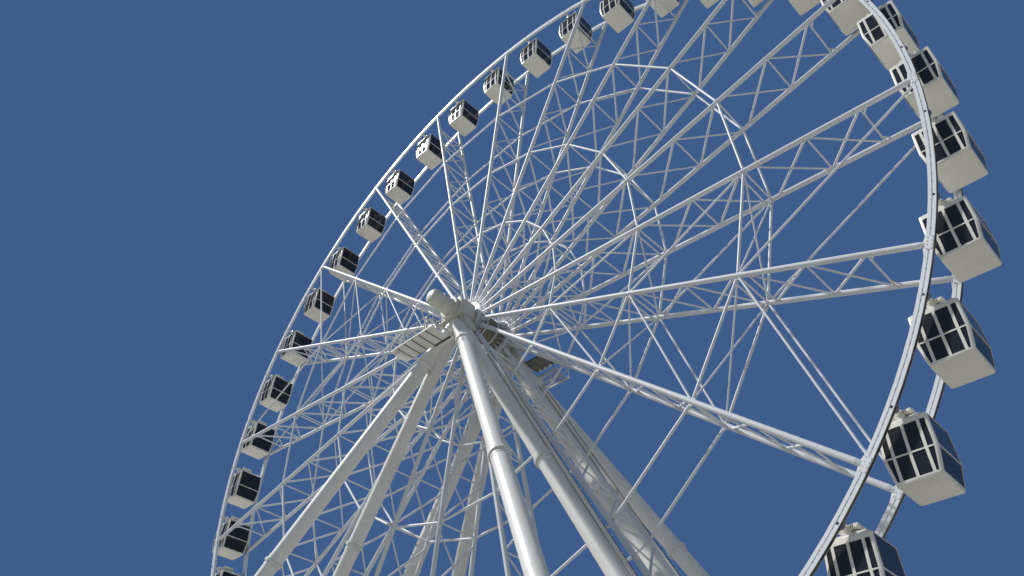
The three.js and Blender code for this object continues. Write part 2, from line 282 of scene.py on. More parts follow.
# %% [markdown]
# ## The painted finishes
#
# The steel is white, but not the same white everywhere: the trusses are a cool white, the rims are
# a little glossier, and the legs carry more dust. Heads, the slip ring and platforms are a dull
# beige, darkened to paint the shade around the heads, and dark olive bands on the hub's barrel
# paint the shade on it. The cabins are moulded and have the clear gloss of a gel coat, a shade
# creamier. One function wires the two groups into a Principled shader, so each finish is only a
# line of values. The trusses get no worn edges: on tubes this thin every spot would count as an
# edge, and from afar the wear would turn into speckles.

# %% Painted materials
def painted(name, paint, grime, streaks, patch_scale, roughness, wear, peel, coat=0.0):
    material = bpy.data.materials.new(name)
    material.use_nodes = True
    nodes, links = material.node_tree.nodes, material.node_tree.links
    shader = nodes["Principled BSDF"]
    aged = nodes.new("ShaderNodeGroup")
    aged.node_tree = weathering
    aged.inputs["Paint"].default_value = (*paint, 1.0)
    aged.inputs["Grime Color"].default_value = (0.27, 0.25, 0.20, 1.0)
    aged.inputs["Grime"].default_value = grime
    aged.inputs["Streaks"].default_value = streaks
    aged.inputs["Patch Scale"].default_value = patch_scale
    aged.inputs["Gloss Roughness"].default_value = roughness
    rubbed = nodes.new("ShaderNodeGroup")
    rubbed.node_tree = edge_wear
    rubbed.inputs["Worn Color"].default_value = (0.42, 0.41, 0.38, 1.0)
    rubbed.inputs["Amount"].default_value = wear
    bump = nodes.new("ShaderNodeBump")
    bump.inputs["Strength"].default_value = peel
    bump.inputs["Distance"].default_value = 0.002
    links.new(aged.outputs["Color"], rubbed.inputs["Color"])
    links.new(rubbed.outputs["Color"], shader.inputs["Base Color"])
    links.new(aged.outputs["Roughness"], shader.inputs["Roughness"])
    links.new(aged.outputs["Height"], bump.inputs["Height"])
    links.new(bump.outputs["Normal"], shader.inputs["Normal"])
    shader.inputs["Coat Weight"].default_value = coat
    shader.inputs["Coat Roughness"].default_value = 0.12
    return material


frame_white = painted("frame_white", (0.66, 0.685, 0.72), 0.10, 0.06, 0.5, 0.45, 0.0, 0.03)
rim_white = painted("rim_white", (0.76, 0.79, 0.83), 0.10, 0.08, 0.7, 0.38, 0.12, 0.03)
support_white = painted("support_white", (0.74, 0.74, 0.715), 0.20, 0.24, 0.5, 0.46, 0.2, 0.05)
# A dull beige, darkened to paint the shade that lies on the heads, the slip ring and the platforms.
beige_with_painted_shade = painted("beige_with_painted_shade", (0.56, 0.56, 0.50), 0.25, 0.22, 1.2, 0.5, 0.2, 0.05)
barrel_shade_olive = painted("barrel_shade_olive", (0.16, 0.15, 0.11), 0.3, 0.2, 2.0, 0.5, 0.0, 0.05)
cabin_cream = painted("cabin_cream", (0.78, 0.76, 0.69), 0.07, 0.12, 0.8, 0.26, 0.15, 0.02, 0.45)
# Dark grey for the lamps along the rims; on the back platform's tray it paints the shade on its
# underside.
lamp_grey_and_tray_shade = painted("lamp_grey_and_tray_shade", (0.17, 0.175, 0.155), 0.3, 0.2, 2.0, 0.55, 0.3, 0.05)
print("painted finishes", [finish.name for finish in (
    frame_white, rim_white, support_white, beige_with_painted_shade, barrel_shade_olive, cabin_cream, lamp_grey_and_tray_shade)])

# %% [markdown]
# ## Galvanised steel, dark fittings and tinted glass
#
# Bolts, the grating and the cabins' bearings are hot dip galvanised: a Voronoi texture gives the
# crystal flakes their different greys. Cables, slots, the bands on the rims' outer faces and other
# dark fittings are near black with a little dust. The same near black, on a strip in the gap beside
# the front platform's inner beam, paints the shade there.
# The windows are sun protection glass, so dark that from below they read as black with a faint
# shine: a tinted transmission lets the cabin behind them stay hollow to the eye.

# %% Galvanised fittings
def make_galvanised():
    material = bpy.data.materials.new("galvanised")
    material.use_nodes = True
    nodes, links = material.node_tree.nodes, material.node_tree.links
    shader = nodes["Principled BSDF"]
    place = nodes.new("ShaderNodeTexCoord")
    flakes = nodes.new("ShaderNodeTexVoronoi")
    flakes.inputs["Scale"].default_value = 45.0
    links.new(place.outputs["Object"], flakes.inputs["Vector"])
    shades = nodes.new("ShaderNodeMapRange")
    shades.inputs["To Min"].default_value = 0.36
    shades.inputs["To Max"].default_value = 0.58
    links.new(flakes.outputs["Color"], shades.inputs["Value"])
    links.new(shades.outputs["Result"], shader.inputs["Base Color"])
    dull = nodes.new("ShaderNodeMapRange")
    dull.inputs["To Min"].default_value = 0.38
    dull.inputs["To Max"].default_value = 0.62
    links.new(flakes.outputs["Distance"], dull.inputs["Value"])
    links.new(dull.outputs["Result"], shader.inputs["Roughness"])
    shader.inputs["Metallic"].default_value = 0.55
    return material


galvanised = make_galvanised()


# %% Dark fittings
def make_dark_fittings_and_shade():
    material = bpy.data.materials.new("dark_fittings_and_shade")
    material.use_nodes = True
    nodes, links = material.node_tree.nodes, material.node_tree.links
    shader = nodes["Principled BSDF"]
    aged = nodes.new("ShaderNodeGroup")
    aged.node_tree = weathering
    aged.inputs["Paint"].default_value = (0.035, 0.036, 0.038, 1.0)
    aged.inputs["Grime Color"].default_value = (0.16, 0.15, 0.13, 1.0)
    aged.inputs["Grime"].default_value = 0.5
    aged.inputs["Patch Scale"].default_value = 6.0
    links.new(aged.outputs["Color"], shader.inputs["Base Color"])
    links.new(aged.outputs["Roughness"], shader.inputs["Roughness"])
    return material


dark_fittings_and_shade = make_dark_fittings_and_shade()


# %% Tinted glass
def make_tinted_glass():
    material = bpy.data.materials.new("tinted_glass")
    material.use_nodes = True
    nodes, links = material.node_tree.nodes, material.node_tree.links
    shader = nodes["Principled BSDF"]
    place = nodes.new("ShaderNodeTexCoord")
    dust = nodes.new("ShaderNodeTexNoise")
    dust.inputs["Scale"].default_value = 3.0
    dust.inputs["Detail"].default_value = 6.0
    links.new(place.outputs["Object"], dust.inputs["Vector"])
    film = nodes.new("ShaderNodeMapRange")
    film.inputs["From Min"].default_value = 0.35
    film.inputs["From Max"].default_value = 0.8
    film.inputs["To Min"].default_value = 0.04
    film.inputs["To Max"].default_value = 0.14
    links.new(dust.outputs["Fac"], film.inputs["Value"])
    links.new(film.outputs["Result"], shader.inputs["Roughness"])
    shader.inputs["Base Color"].default_value = (0.038, 0.042, 0.052, 1.0)
    shader.inputs["Specular IOR Level"].default_value = 0.35
    shader.inputs["Transmission Weight"].default_value = 0.35
    shader.inputs["IOR"].default_value = 1.45
    return material


tinted_glass = make_tinted_glass()
print("fittings", galvanised.name, dark_fittings_and_shade.name, tinted_glass.name)

# %% [markdown]
# ## Small shop tools
#
# The whole wheel is made of tubes, plates, blocks and turned rings. Four helpers wrap the bmesh
# operators that make them: a cone operator for tubes, an extruded face for plates, a bevelled cube
# for blocks and a spun outline for rings. A bolt head is a tube with six sides. Two more helpers
# copy a part to its place, and turn a finished bmesh into an object that rides on its body and
# stands for its CAD node.

# %% Tubes, plates and blocks
THIN_SIDES = 8
BOLT_SUNK, BOLT_PROUD = 0.2, 0.7


def add_tube(bm, start, end, radius, sides=12, end_radius=None):
    start, end = Vector(start), Vector(end)
    run = end - start
    turn = run.to_track_quat("Z", "Y").to_matrix().to_4x4()
    bmesh.ops.create_cone(
        bm, cap_ends=True, segments=sides, radius1=radius, radius2=end_radius or radius,
        depth=run.length, matrix=Matrix.Translation((start + end) / 2) @ turn)


def add_plate(bm, corners, push):
    """Extrudes the face between some corners along push."""
    face = bm.faces.new([bm.verts.new(corner) for corner in corners])
    grown = bmesh.ops.extrude_face_region(bm, geom=[face])["geom"]
    moved = [item for item in grown if isinstance(item, bmesh.types.BMVert)]
    bmesh.ops.translate(bm, vec=push, verts=moved)


def add_block(bm, low, high, rounded=0.0, turn=None):
    low, high = Vector(low), Vector(high)
    place = Matrix.Translation((low + high) / 2) @ Matrix.Diagonal((*(high - low), 1.0))
    made = bmesh.ops.create_cube(bm, size=1.0, matrix=(turn or Matrix()) @ place)["verts"]
    if rounded:
        edges = list({edge for vert in made for edge in vert.link_edges})
        bmesh.ops.bevel(
            bm, geom=edges, offset=rounded, affect="EDGES", segments=1, profile=0.5, material=-1)


def add_bolt(bm, base, outward, size):
    """A hexagon head that stands out from base along outward."""
    base, outward = Vector(base), Vector(outward).normalized()
    add_tube(bm, base - outward * size * BOLT_SUNK, base + outward * size * BOLT_PROUD, size, 6)


# %% Turned rings
ON_AXIS = 1e-6
WELD_DISTANCE = 1e-5
TURNED_STEPS = 64


def add_turned(bm, outline, place, steps, rounded=0.0, closed=True):
    """Spins an outline of (radius, along) pairs about the local Z axis, then puts it in place.

    An outline that begins and ends on the axis isn't closed: its edge along the axis is left out.
    """
    work = bmesh.new()
    verts = [work.verts.new((radius, 0.0, along)) for radius, along in outline]
    work.faces.new(verts)
    if rounded:
        corners = [vert for vert in verts if vert.co.x > ON_AXIS]
        bmesh.ops.bevel(
            work, geom=corners, offset=rounded, affect="VERTICES", segments=1, profile=0.5,
            material=-1)
    bmesh.ops.delete(work, geom=work.faces[:], context="FACES_ONLY")
    if not closed:
        axis_edges = [edge for edge in work.edges if all(abs(v.co.x) < ON_AXIS for v in edge.verts)]
        bmesh.ops.delete(work, geom=axis_edges, context="EDGES")
    bmesh.ops.spin(
        work, geom=work.verts[:] + work.edges[:], cent=(0, 0, 0), axis=(0, 0, 1),
        angle=math.tau, steps=steps, use_merge=True, use_duplicate=False)
    bmesh.ops.remove_doubles(work, verts=work.verts[:], dist=WELD_DISTANCE)
    bmesh.ops.recalc_face_normals(work, faces=work.faces[:])
    add_copy(bm, work, place)
    work.free()


def add_copy(bm, other, place):
    """Adds a copy of another bmesh, moved by the matrix place."""
    mesh = bpy.data.meshes.new("copy")
    other.to_mesh(mesh)
    mesh.transform(place)
    bm.from_mesh(mesh)
    bpy.data.meshes.remove(mesh)


# %% From bmesh to a piece of the wheel
SHARP_DEG = 32.0

made_faces = {}


def finish_piece(bm, name, material, body, replaced=()):
    """Turns a bmesh into an object that rides on a body, and frees the bmesh."""
    bmesh.ops.recalc_face_normals(bm, faces=bm.faces[:])
    open_edges = sum(1 for edge in bm.edges if not edge.is_manifold)
    mesh = bpy.data.meshes.new(name)
    bm.to_mesh(mesh)
    bm.free()
    mesh.shade_smooth()
    mesh.set_sharp_from_angle(angle=math.radians(SHARP_DEG))
    mesh.materials.append(material)
    piece = bpy.data.objects.new(name, mesh)
    scene.collection.objects.link(piece)
    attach(piece, body)
    if replaced:
        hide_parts(*replaced)
    made_faces[name] = len(mesh.polygons)
    print(name, "faces", len(mesh.polygons), "open edges", open_edges)
    return piece


# %% [markdown]
# ## One spoke, a ladder truss of round tubes
#
# Each spoke has two chords, one for each rim, tied together by rungs and by crossed braces.
# Of each crossed pair one brace is stout and the other slim. Where the ties meet a chord the braces
# stop a hand's breadth off the node. Each chord tapers to a tip that is welded to the rim.
# The whole truss could be drawn twenty times over. It is made once, lying along X from the hub, and
# copied with a rotation for each spoke, which also keeps all twenty alike.

# %% Spoke sizes
HUB = Vector((0.0, 0.0, 16.09))
RIM_RADIUS = 13.35
RIM_CENTRE = RIM_RADIUS + 0.025
RIM_DEPTH = 0.15
RIM_INNER = RIM_CENTRE - RIM_DEPTH / 2
RIM_Y = 0.61
SPOKES = 20
BAY = math.tau / SPOKES
FIRST_SPOKE = math.radians(-40.27)
CHORD_RADIUS, CHORD_TIP_RADIUS, CHORD_TAPER = 0.063, 0.045, 0.12
CHORD_START, CHORD_END = 0.62, RIM_INNER - 0.004
CHORD_SIDES = 16
RUNG_RADIUS = 0.023
STOUT_BRACE, SLIM_BRACE = 0.031, 0.022
TIE_SHARES = (0.264, 0.475, 0.705)
RUNG_SHARES = (0.13, 0.264, 0.367, 0.475, 0.597, 0.705, 0.822, 0.915)
PAST_NODE, BEFORE_NODE = 0.2, 0.1
KNEE_RUN, KNEE_REACH, KNEE_RADIUS = 0.17, 0.2, 0.018
RIM_GUSSET = ((-0.06, 0.05), (0.004, 0.05), (0.004, 0.26), (-0.012, 0.26))
PLATE_HALF = 0.012


def spoke_turn(index):
    return Matrix.Translation(HUB) @ Matrix.Rotation(-(FIRST_SPOKE + index * BAY), 4, "Y")


def add_round(bm, part):
    """Adds a copy of a part at each spoke."""
    for index in range(SPOKES):
        add_copy(bm, part, spoke_turn(index))


# %% One spoke
def make_spoke():
    bm = bmesh.new()
    taper_start = CHORD_END - CHORD_TAPER
    for y in (-RIM_Y, RIM_Y):
        add_tube(bm, (CHORD_START, y, 0), (taper_start, y, 0), CHORD_RADIUS, CHORD_SIDES)
        add_tube(bm, (taper_start, y, 0), (CHORD_END, y, 0), CHORD_RADIUS, CHORD_SIDES,
                 CHORD_TIP_RADIUS)
        for side in (-1, 1):
            corners = [(RIM_INNER + x, y - PLATE_HALF, side * z) for x, z in RIM_GUSSET]
            add_plate(bm, corners, (0, 2 * PLATE_HALF, 0))
    for share in RUNG_SHARES:
        radius = share * RIM_RADIUS
        add_tube(bm, (radius, -RIM_Y, 0), (radius, RIM_Y, 0), RUNG_RADIUS)
    for near, far in zip(RUNG_SHARES, RUNG_SHARES[1:]):
        start = near * RIM_RADIUS + (PAST_NODE if near in TIE_SHARES else 0.0)
        end = far * RIM_RADIUS - (BEFORE_NODE if far in TIE_SHARES else 0.0)
        add_tube(bm, (start, RIM_Y, 0), (end, -RIM_Y, 0), STOUT_BRACE)
        add_tube(bm, (start, -RIM_Y, 0), (end, RIM_Y, 0), SLIM_BRACE)
    last = RUNG_SHARES[-1] * RIM_RADIUS
    for side in (-1, 1):
        y = side * RIM_Y
        add_tube(bm, (last + KNEE_RUN, y, 0), (last, y - side * KNEE_REACH, 0), KNEE_RADIUS,
                 THIN_SIDES)
    return bm


spoke = make_spoke()
print("one spoke has", len(spoke.faces), "faces")

# %% [markdown]
# ## Gusset plates, ties and bay braces
#
# Three rings of ties join the spokes, the inner one close to the hub. They meet the chords at small
# flat gusset plates with bolts. At two opposite spokes long braces run from tie ring to tie ring
# and out to the neighbours' rim joints, with crossed braces between the front and the back.
# An extruded outline makes a plate in one step.

# %% Ties and gussets about one spoke
TIE_RADII = [share * RIM_RADIUS for share in TIE_SHARES]
TIE_RADIUS, TIE_GAP = 0.034, 0.1
GUSSET = ((-0.07, 0.03), (0.07, 0.03), (0.055, 0.06), (0.02, 0.12), (-0.035, 0.12), (-0.065, 0.06))


def around(radius, y, bays=0.0):
    """A point at a radius, some bays on from the spoke that lies along X."""
    return Vector((radius * math.cos(bays * BAY), y, radius * math.sin(bays * BAY)))


def add_gusset(bm, radius, y, side):
    corners = [(radius + x, y - PLATE_HALF, side * z) for x, z in GUSSET]
    add_plate(bm, corners, (0, 2 * PLATE_HALF, 0))


def make_ties():
    bm = bmesh.new()
    for y in (-RIM_Y, RIM_Y):
        for radius in TIE_RADII:
            start, end = around(radius, y), around(radius, y, 1.0)
            along = (end - start).normalized()
            add_tube(bm, start + along * TIE_GAP, end - along * TIE_GAP, TIE_RADIUS)
            add_gusset(bm, radius, y, 1)
            add_gusset(bm, radius, y, -1)
    return bm


ties = make_ties()
print("ties and gussets of one bay have", len(ties.faces), "faces")

# %% Braces in the bays beside two opposite spokes
BRACED_SPOKES = (1, 11)
BAY_BRACE_RADIUS = 0.028
RIM_SINK, RIM_BAYS = 0.01, 0.96
OWN_RUNG_SHIFT, NEXT_RUNG_SHIFT = 0.23, 0.16


def make_bay_braces():
    bm = bmesh.new()
    for side in (-1, 1):
        for y in (-RIM_Y, RIM_Y):
            for start, end in zip(TIE_RADII, TIE_RADII[1:]):
                add_tube(bm, around(start, y), around(end, y, side), BAY_BRACE_RADIUS)
            rim_point = around(RIM_INNER + RIM_SINK, y, side * RIM_BAYS)
            add_tube(bm, around(TIE_RADII[-1], y), rim_point, BAY_BRACE_RADIUS)
            for radius in TIE_RADII:
                add_tube(bm, around(radius, y), around(radius, -y, side), SLIM_BRACE)
    for radius in TIE_RADII:
        for shift in (-OWN_RUNG_SHIFT, OWN_RUNG_SHIFT):
            add_tube(bm, (radius + shift, -RIM_Y, 0), (radius + shift, RIM_Y, 0), RUNG_RADIUS)
        for side in (-1, 1):
            ends = [around(radius - NEXT_RUNG_SHIFT, y, side) for y in (-RIM_Y, RIM_Y)]
            add_tube(bm, *ends, RUNG_RADIUS)
    return bm


bay_braces = make_bay_braces()
print("bay braces of one spoke have", len(bay_braces.faces), "faces")

# %% Spoke frames, five spokes each
FRAMES = 4
FRAME_SPOKES = SPOKES // FRAMES

for frame_index in range(FRAMES):
    bm = bmesh.new()
    for index in range(frame_index * FRAME_SPOKES, (frame_index + 1) * FRAME_SPOKES):
        add_copy(bm, spoke, spoke_turn(index))
        add_copy(bm, ties, spoke_turn(index))
        if index in BRACED_SPOKES:
            add_copy(bm, bay_braces, spoke_turn(index))
    name = f"spoke_frame_{frame_index + 1}"
    finish_piece(bm, f"{name}_truss", frame_white, "wheel", [name])

# %% Gusset bolts
GUSSET_BOLTS = ((-0.035, 0.08), (0.025, 0.08), (-0.015, 0.105))
GUSSET_BOLT_SIZE = 0.008


def make_spoke_bolts():
    bm = bmesh.new()
    for y in (-RIM_Y, RIM_Y):
        out = math.copysign(1.0, y)
        for radius in TIE_RADII:
            for side in (-1, 1):
                for x, z in GUSSET_BOLTS:
                    seat = (radius + x, y + out * PLATE_HALF, side * z)
                    add_bolt(bm, seat, (0, out, 0), GUSSET_BOLT_SIZE)
    return bm


bm = bmesh.new()
add_round(bm, make_spoke_bolts())
finish_piece(bm, "gusset_bolts", galvanised, "wheel")

# %% [markdown]
# ## The two rims
#
# A rim is a deep, narrow ring: two flat bars side by side with a fine seam between them, and a near
# black band on the outer face. Spinning one outline about the axle gives each of them. A torus
# won't do, as its section is round. At each spoke a thin bolted plate covers the joint of two
# segments, and a string of small lamps follows the seam.

# %% Rim sections
RIM_WIDTH = 0.09
SEAM_HALF, SEAM_DEPTH = 0.011, 0.016
RIM_STEPS = 180
AXLE_PLACE = Matrix.Translation(HUB) @ Matrix.Rotation(-math.pi / 2, 4, "X")
JOINT_PLATE = 0.007
JOINT_HALF_DEPTH, JOINT_HALF_LENGTH = 0.066, 0.14
RIMS = {"front_rim": -RIM_Y, "back_rim": RIM_Y}


def rim_outline(y):
    """Corners of the rim's section as (radius, along the axle) pairs."""
    low, high = RIM_INNER, RIM_INNER + RIM_DEPTH
    half, floor_y = RIM_WIDTH / 2, RIM_WIDTH / 2 - SEAM_DEPTH
    face = [(low, half), (RIM_CENTRE - SEAM_HALF, half), (RIM_CENTRE - SEAM_HALF, floor_y),
            (RIM_CENTRE + SEAM_HALF, floor_y), (RIM_CENTRE + SEAM_HALF, half), (high, half)]
    other = [(radius, -along) for radius, along in reversed(face)]
    return [(radius, y + along) for radius, along in face + other]


def make_joint_plates(y):
    bm = bmesh.new()
    for side in (-1, 1):
        near, far = sorted((y + side * RIM_WIDTH / 2, y + side * (RIM_WIDTH / 2 + JOINT_PLATE)))
        add_block(bm, (RIM_CENTRE - JOINT_HALF_DEPTH, near, -JOINT_HALF_LENGTH),
                  (RIM_CENTRE + JOINT_HALF_DEPTH, far, JOINT_HALF_LENGTH), rounded=0.002)
    return bm


for name, y in RIMS.items():
    bm = bmesh.new()
    add_turned(bm, rim_outline(y), AXLE_PLACE, RIM_STEPS, rounded=0.002)
    add_round(bm, make_joint_plates(y))
    finish_piece(bm, f"{name}_ring", rim_white, "wheel", [name])

# %% Dark bands on the rims' outer faces
# A near black band on each rim's outer face.
OUTER_BAND_HALF_WIDTH, OUTER_BAND_THICKNESS, OUTER_BAND_SINK = 0.034, 0.004, 0.001

for name, y in RIMS.items():
    rim_outer = RIM_INNER + RIM_DEPTH
    low, high = rim_outer - OUTER_BAND_SINK, rim_outer + OUTER_BAND_THICKNESS
    corners = [(low, y - OUTER_BAND_HALF_WIDTH), (high, y - OUTER_BAND_HALF_WIDTH),
               (high, y + OUTER_BAND_HALF_WIDTH), (low, y + OUTER_BAND_HALF_WIDTH)]
    bm = bmesh.new()
    add_turned(bm, corners, AXLE_PLACE, RIM_STEPS, rounded=0.003)
    finish_piece(bm, f"{name}_outer_band", dark_fittings_and_shade, "wheel")

# %% Lamps and bolts along the rims
LAMPS_PER_BAY = 20
LAMP_HALF_DEPTH, LAMP_HALF_LENGTH = 0.006, 0.010
LAMP_SUNK, LAMP_PROUD = 0.002, 0.012
JOINT_BOLT_SIZE = 0.010
JOINT_BOLTS = [(x, z) for x in (-0.045, 0.045) for z in (-0.12, -0.04, 0.04, 0.12)]


def make_rim_lamps():
    bm = bmesh.new()
    for y in RIMS.values():
        out = math.copysign(1.0, y)
        seam = y + out * (RIM_WIDTH / 2 - SEAM_DEPTH)
        near, far = sorted((seam - out * LAMP_SUNK, seam + out * LAMP_PROUD))
        for step in range(LAMPS_PER_BAY):
            turn = Matrix.Rotation(-(step + 0.5) * BAY / LAMPS_PER_BAY, 4, "Y")
            add_block(bm, (RIM_CENTRE - LAMP_HALF_DEPTH, near, -LAMP_HALF_LENGTH),
                      (RIM_CENTRE + LAMP_HALF_DEPTH, far, LAMP_HALF_LENGTH), turn=turn)
    return bm


def make_rim_bolts():
    bm = bmesh.new()
    for y in RIMS.values():
        for side in (-1, 1):
            face_y = y + side * (RIM_WIDTH / 2 + JOINT_PLATE)
            for x, z in JOINT_BOLTS:
                add_bolt(bm, (RIM_CENTRE + x, face_y, z), (0, side, 0), JOINT_BOLT_SIZE)
    return bm


for part, name, finish in ((make_rim_lamps(), "rim_lamps", lamp_grey_and_tray_shade),
                           (make_rim_bolts(), "rim_bolts", galvanised)):
    bm = bmesh.new()
    add_round(bm, part)
    finish_piece(bm, name, finish, "wheel")

# %% [markdown]
# ## Hub
#
# The hub is a turned barrel between two spoke discs, with a fork for each chord. Spin makes the
# barrel and discs from one outline. The forks and the ribs behind the discs are plates, made for
# one spoke and copied round. Three thin dark olive bands on the barrel, between its rings, paint
# the shade that lies on it between the discs.

# %% Hub drum
HUB_HALF = [(0.0, 1.324), (0.2, 1.324), (0.2, 0.76), (0.29, 0.76), (0.29, 0.69), (0.56, 0.69),
            (0.6, 0.67), (0.6, 0.55), (0.58, 0.53), (0.4, 0.53), (0.4, 0.24), (0.43, 0.24),
            (0.43, 0.2), (0.4, 0.2)]
HUB_STEPS = 80
FORK_START, FORK_END, FORK_HALF_WIDTH = 0.5, 0.82, 0.055
CHEEK_SHIFT, CHEEK_HALF = 0.08, 0.01
DISC_INNER_Y = 0.53
RIB_START, RIB_END, RIB_RUN, RIB_HALF = 0.39, 0.57, 0.2, 0.008


def make_fork_and_rib():
    bm = bmesh.new()
    for y in (-RIM_Y, RIM_Y):
        for side in (-1, 1):
            cheek = side * CHEEK_SHIFT
            add_block(bm, (FORK_START, y - FORK_HALF_WIDTH, cheek - CHEEK_HALF),
                      (FORK_END, y + FORK_HALF_WIDTH, cheek + CHEEK_HALF), rounded=0.004)
        disc, tip = math.copysign(DISC_INNER_Y, y), math.copysign(RIB_RUN, y)
        add_plate(bm, [(RIB_START, disc, -RIB_HALF), (RIB_END, disc, -RIB_HALF),
                       (RIB_START, disc - tip, -RIB_HALF)], (0, 0, 2 * RIB_HALF))
    return bm


bm = bmesh.new()
hub_outline = HUB_HALF + [(radius, -along) for radius, along in reversed(HUB_HALF)]
add_turned(bm, hub_outline, AXLE_PLACE, HUB_STEPS, closed=False)
add_round(bm, make_fork_and_rib())
finish_piece(bm, "hub_barrel", frame_white, "wheel", ["hub_drum"])

# %% Painted shade on the barrel
# Thin dark olive bands on the barrel paint the shade that lies on it between the two discs.
SHADE_BAND_ENDS = ((-0.525, -0.245), (-0.195, 0.195), (0.245, 0.525))
SHADE_BAND_INNER, SHADE_BAND_RADIUS = 0.39, 0.414

bm = bmesh.new()
for low, high in SHADE_BAND_ENDS:
    shade_band = [(SHADE_BAND_INNER, low), (SHADE_BAND_RADIUS, low), (SHADE_BAND_RADIUS, high), (SHADE_BAND_INNER, high)]
    add_turned(bm, shade_band, AXLE_PLACE, TURNED_STEPS, rounded=0.004)
finish_piece(bm, "barrel_painted_shade", barrel_shade_olive, "wheel")

# %% Hub bolts
DISC_BOLT_RADIUS, DISC_BOLT_SIZE = 0.36, 0.016
DISC_BOLT_SHIFT, DISC_BOLT_Z = 0.08, (0.0, 0.057)
FORK_BOLT_X, FORK_BOLT_SIZE = (0.68, 0.76), 0.02


def make_hub_bolts():
    bm = bmesh.new()
    for y in (-RIM_Y, RIM_Y):
        out = math.copysign(1.0, y)
        for z in DISC_BOLT_Z:
            seat = (DISC_BOLT_RADIUS, y + out * DISC_BOLT_SHIFT, z)
            add_bolt(bm, seat, (0, out, 0), DISC_BOLT_SIZE)
        for side in (-1, 1):
            for x in FORK_BOLT_X:
                add_bolt(bm, (x, y, side * (CHEEK_SHIFT + CHEEK_HALF)), (0, 0, side), FORK_BOLT_SIZE)
    return bm


bm = bmesh.new()
add_round(bm, make_hub_bolts())
finish_piece(bm, "hub_bolts", galvanised, "wheel")

# %% [markdown]
# ## Legs
#
# A leg is a run of rolled tubes with a pair of bolted flanges at each joint, and the sections step
# a little in diameter. One outline of radius against distance, spun about the leg's own axis, is
# the whole tube with its rings. A matrix then lays it along the line from the head to the foot,
# and a bisect plane trims it level just inside the foot plate.

# %% Leg lines
LEG_PLANE_Y = 1.035
HEAD_DROP = 0.3
LEG_RADIUS = 0.20
FLANGE_RADIUS = 0.242
FLANGE_STEP = {"outer": 1.9, "inner": 2.2}
FOOT = {"outer": (9.4, 5.52), "inner": (9.36, LEG_PLANE_Y)}
LEG_JOINTS = {"outer": (0.43, 0.74), "inner": (0.37, 0.69)}
SIDES = {"front": -1, "back": 1}
HANDS = {"left": -1, "right": 1}


def leg_line(side, hand, kind):
    """The top and the foot of a leg's centre line."""
    foot_x, foot_y = FOOT[kind]
    top = HUB + Vector((0.0, SIDES[side] * LEG_PLANE_Y, -HEAD_DROP))
    foot = Vector((HANDS[hand] * foot_x, SIDES[side] * foot_y, 0.0))
    return top, foot


def leg_place(top, foot):
    """Lays local Z along the leg, from its top to its foot."""
    turn = (foot - top).to_track_quat("Z", "Y").to_matrix().to_4x4()
    return Matrix.Translation(top) @ turn


# %% A leg's outline
CUFF_LENGTH, CUFF_CHAMFER, CUFF_RISE = 0.15, 0.16, 0.01
FLANGE_THICKNESS, FLANGE_WELD = 0.04, 0.046
GROOVE_HALF, GROOVE_DEPTH = 0.003, 0.012
SECTION_STEP = 0.006


def leg_outline(start, joints, end):
    """The leg's radius against its distance from the head, with a flange pair at each joint."""
    radius, groove = LEG_RADIUS, FLANGE_RADIUS - GROOVE_DEPTH
    outline = [(0.0, start), (radius, start)]
    for joint in joints:
        cuff = radius + CUFF_RISE
        outline += [(radius, joint - CUFF_CHAMFER), (cuff, joint - CUFF_LENGTH),
                    (cuff, joint - FLANGE_WELD), (FLANGE_RADIUS, joint - FLANGE_THICKNESS),
                    (FLANGE_RADIUS, joint - GROOVE_HALF), (groove, joint - GROOVE_HALF),
                    (groove, joint + GROOVE_HALF), (FLANGE_RADIUS, joint + GROOVE_HALF),
                    (FLANGE_RADIUS, joint + FLANGE_THICKNESS)]
        radius -= SECTION_STEP
        cuff = radius + CUFF_RISE
        outline += [(cuff, joint + FLANGE_WELD), (cuff, joint + CUFF_LENGTH),
                    (radius, joint + CUFF_CHAMFER)]
    return outline + [(radius, end), (0.0, end)]


# %% Feet
FOOT_PLATE, PLATE_THICKNESS = 1.1, 0.12
FOOT_RIBS, FOOT_RIB_THICKNESS, FOOT_RIB_HEIGHT = 8, 0.02, 0.42
FOOT_RIB_IN, FOOT_RIB_OUT, FOOT_RIB_TOP_OUT = 0.15, 0.48, 0.26
FOOT_RIB_SUNK, FOOT_RIB_TOE = 0.01, 0.06


def add_foot(bm, foot, lean):
    """A square plate with ribs round the leg, whose tops are shifted to follow the leg's lean."""
    half = FOOT_PLATE / 2
    add_block(bm, (foot.x - half, foot.y - half, 0.0),
              (foot.x + half, foot.y + half, PLATE_THICKNESS), rounded=0.012)
    shift = lean * FOOT_RIB_HEIGHT
    toe = Vector((0, 0, FOOT_RIB_TOE))
    for step in range(FOOT_RIBS):
        turn = Matrix.Translation((foot.x, foot.y, PLATE_THICKNESS)) @ Matrix.Rotation(
            step * math.tau / FOOT_RIBS, 4, "Z")
        thick = turn.to_3x3() @ Vector((0, FOOT_RIB_THICKNESS, 0))
        base_in = turn @ Vector((FOOT_RIB_IN, 0, -FOOT_RIB_SUNK)) - thick / 2
        base_out = turn @ Vector((FOOT_RIB_OUT, 0, -FOOT_RIB_SUNK)) - thick / 2
        top_in = turn @ Vector((FOOT_RIB_IN, 0, FOOT_RIB_HEIGHT)) + shift - thick / 2
        top_out = turn @ Vector((FOOT_RIB_TOP_OUT, 0, FOOT_RIB_HEIGHT)) + shift - thick / 2
        add_plate(bm, [base_in, base_out, base_out + toe, top_out, top_in], thick)


# %% Leg tubes with their flanges
JOINT_SHIFT, LEG_GAP = 0.07, 0.001
FOOT_OVERRUN, FOOT_TRIM = 0.3, 0.06
LEG_STEPS = 48


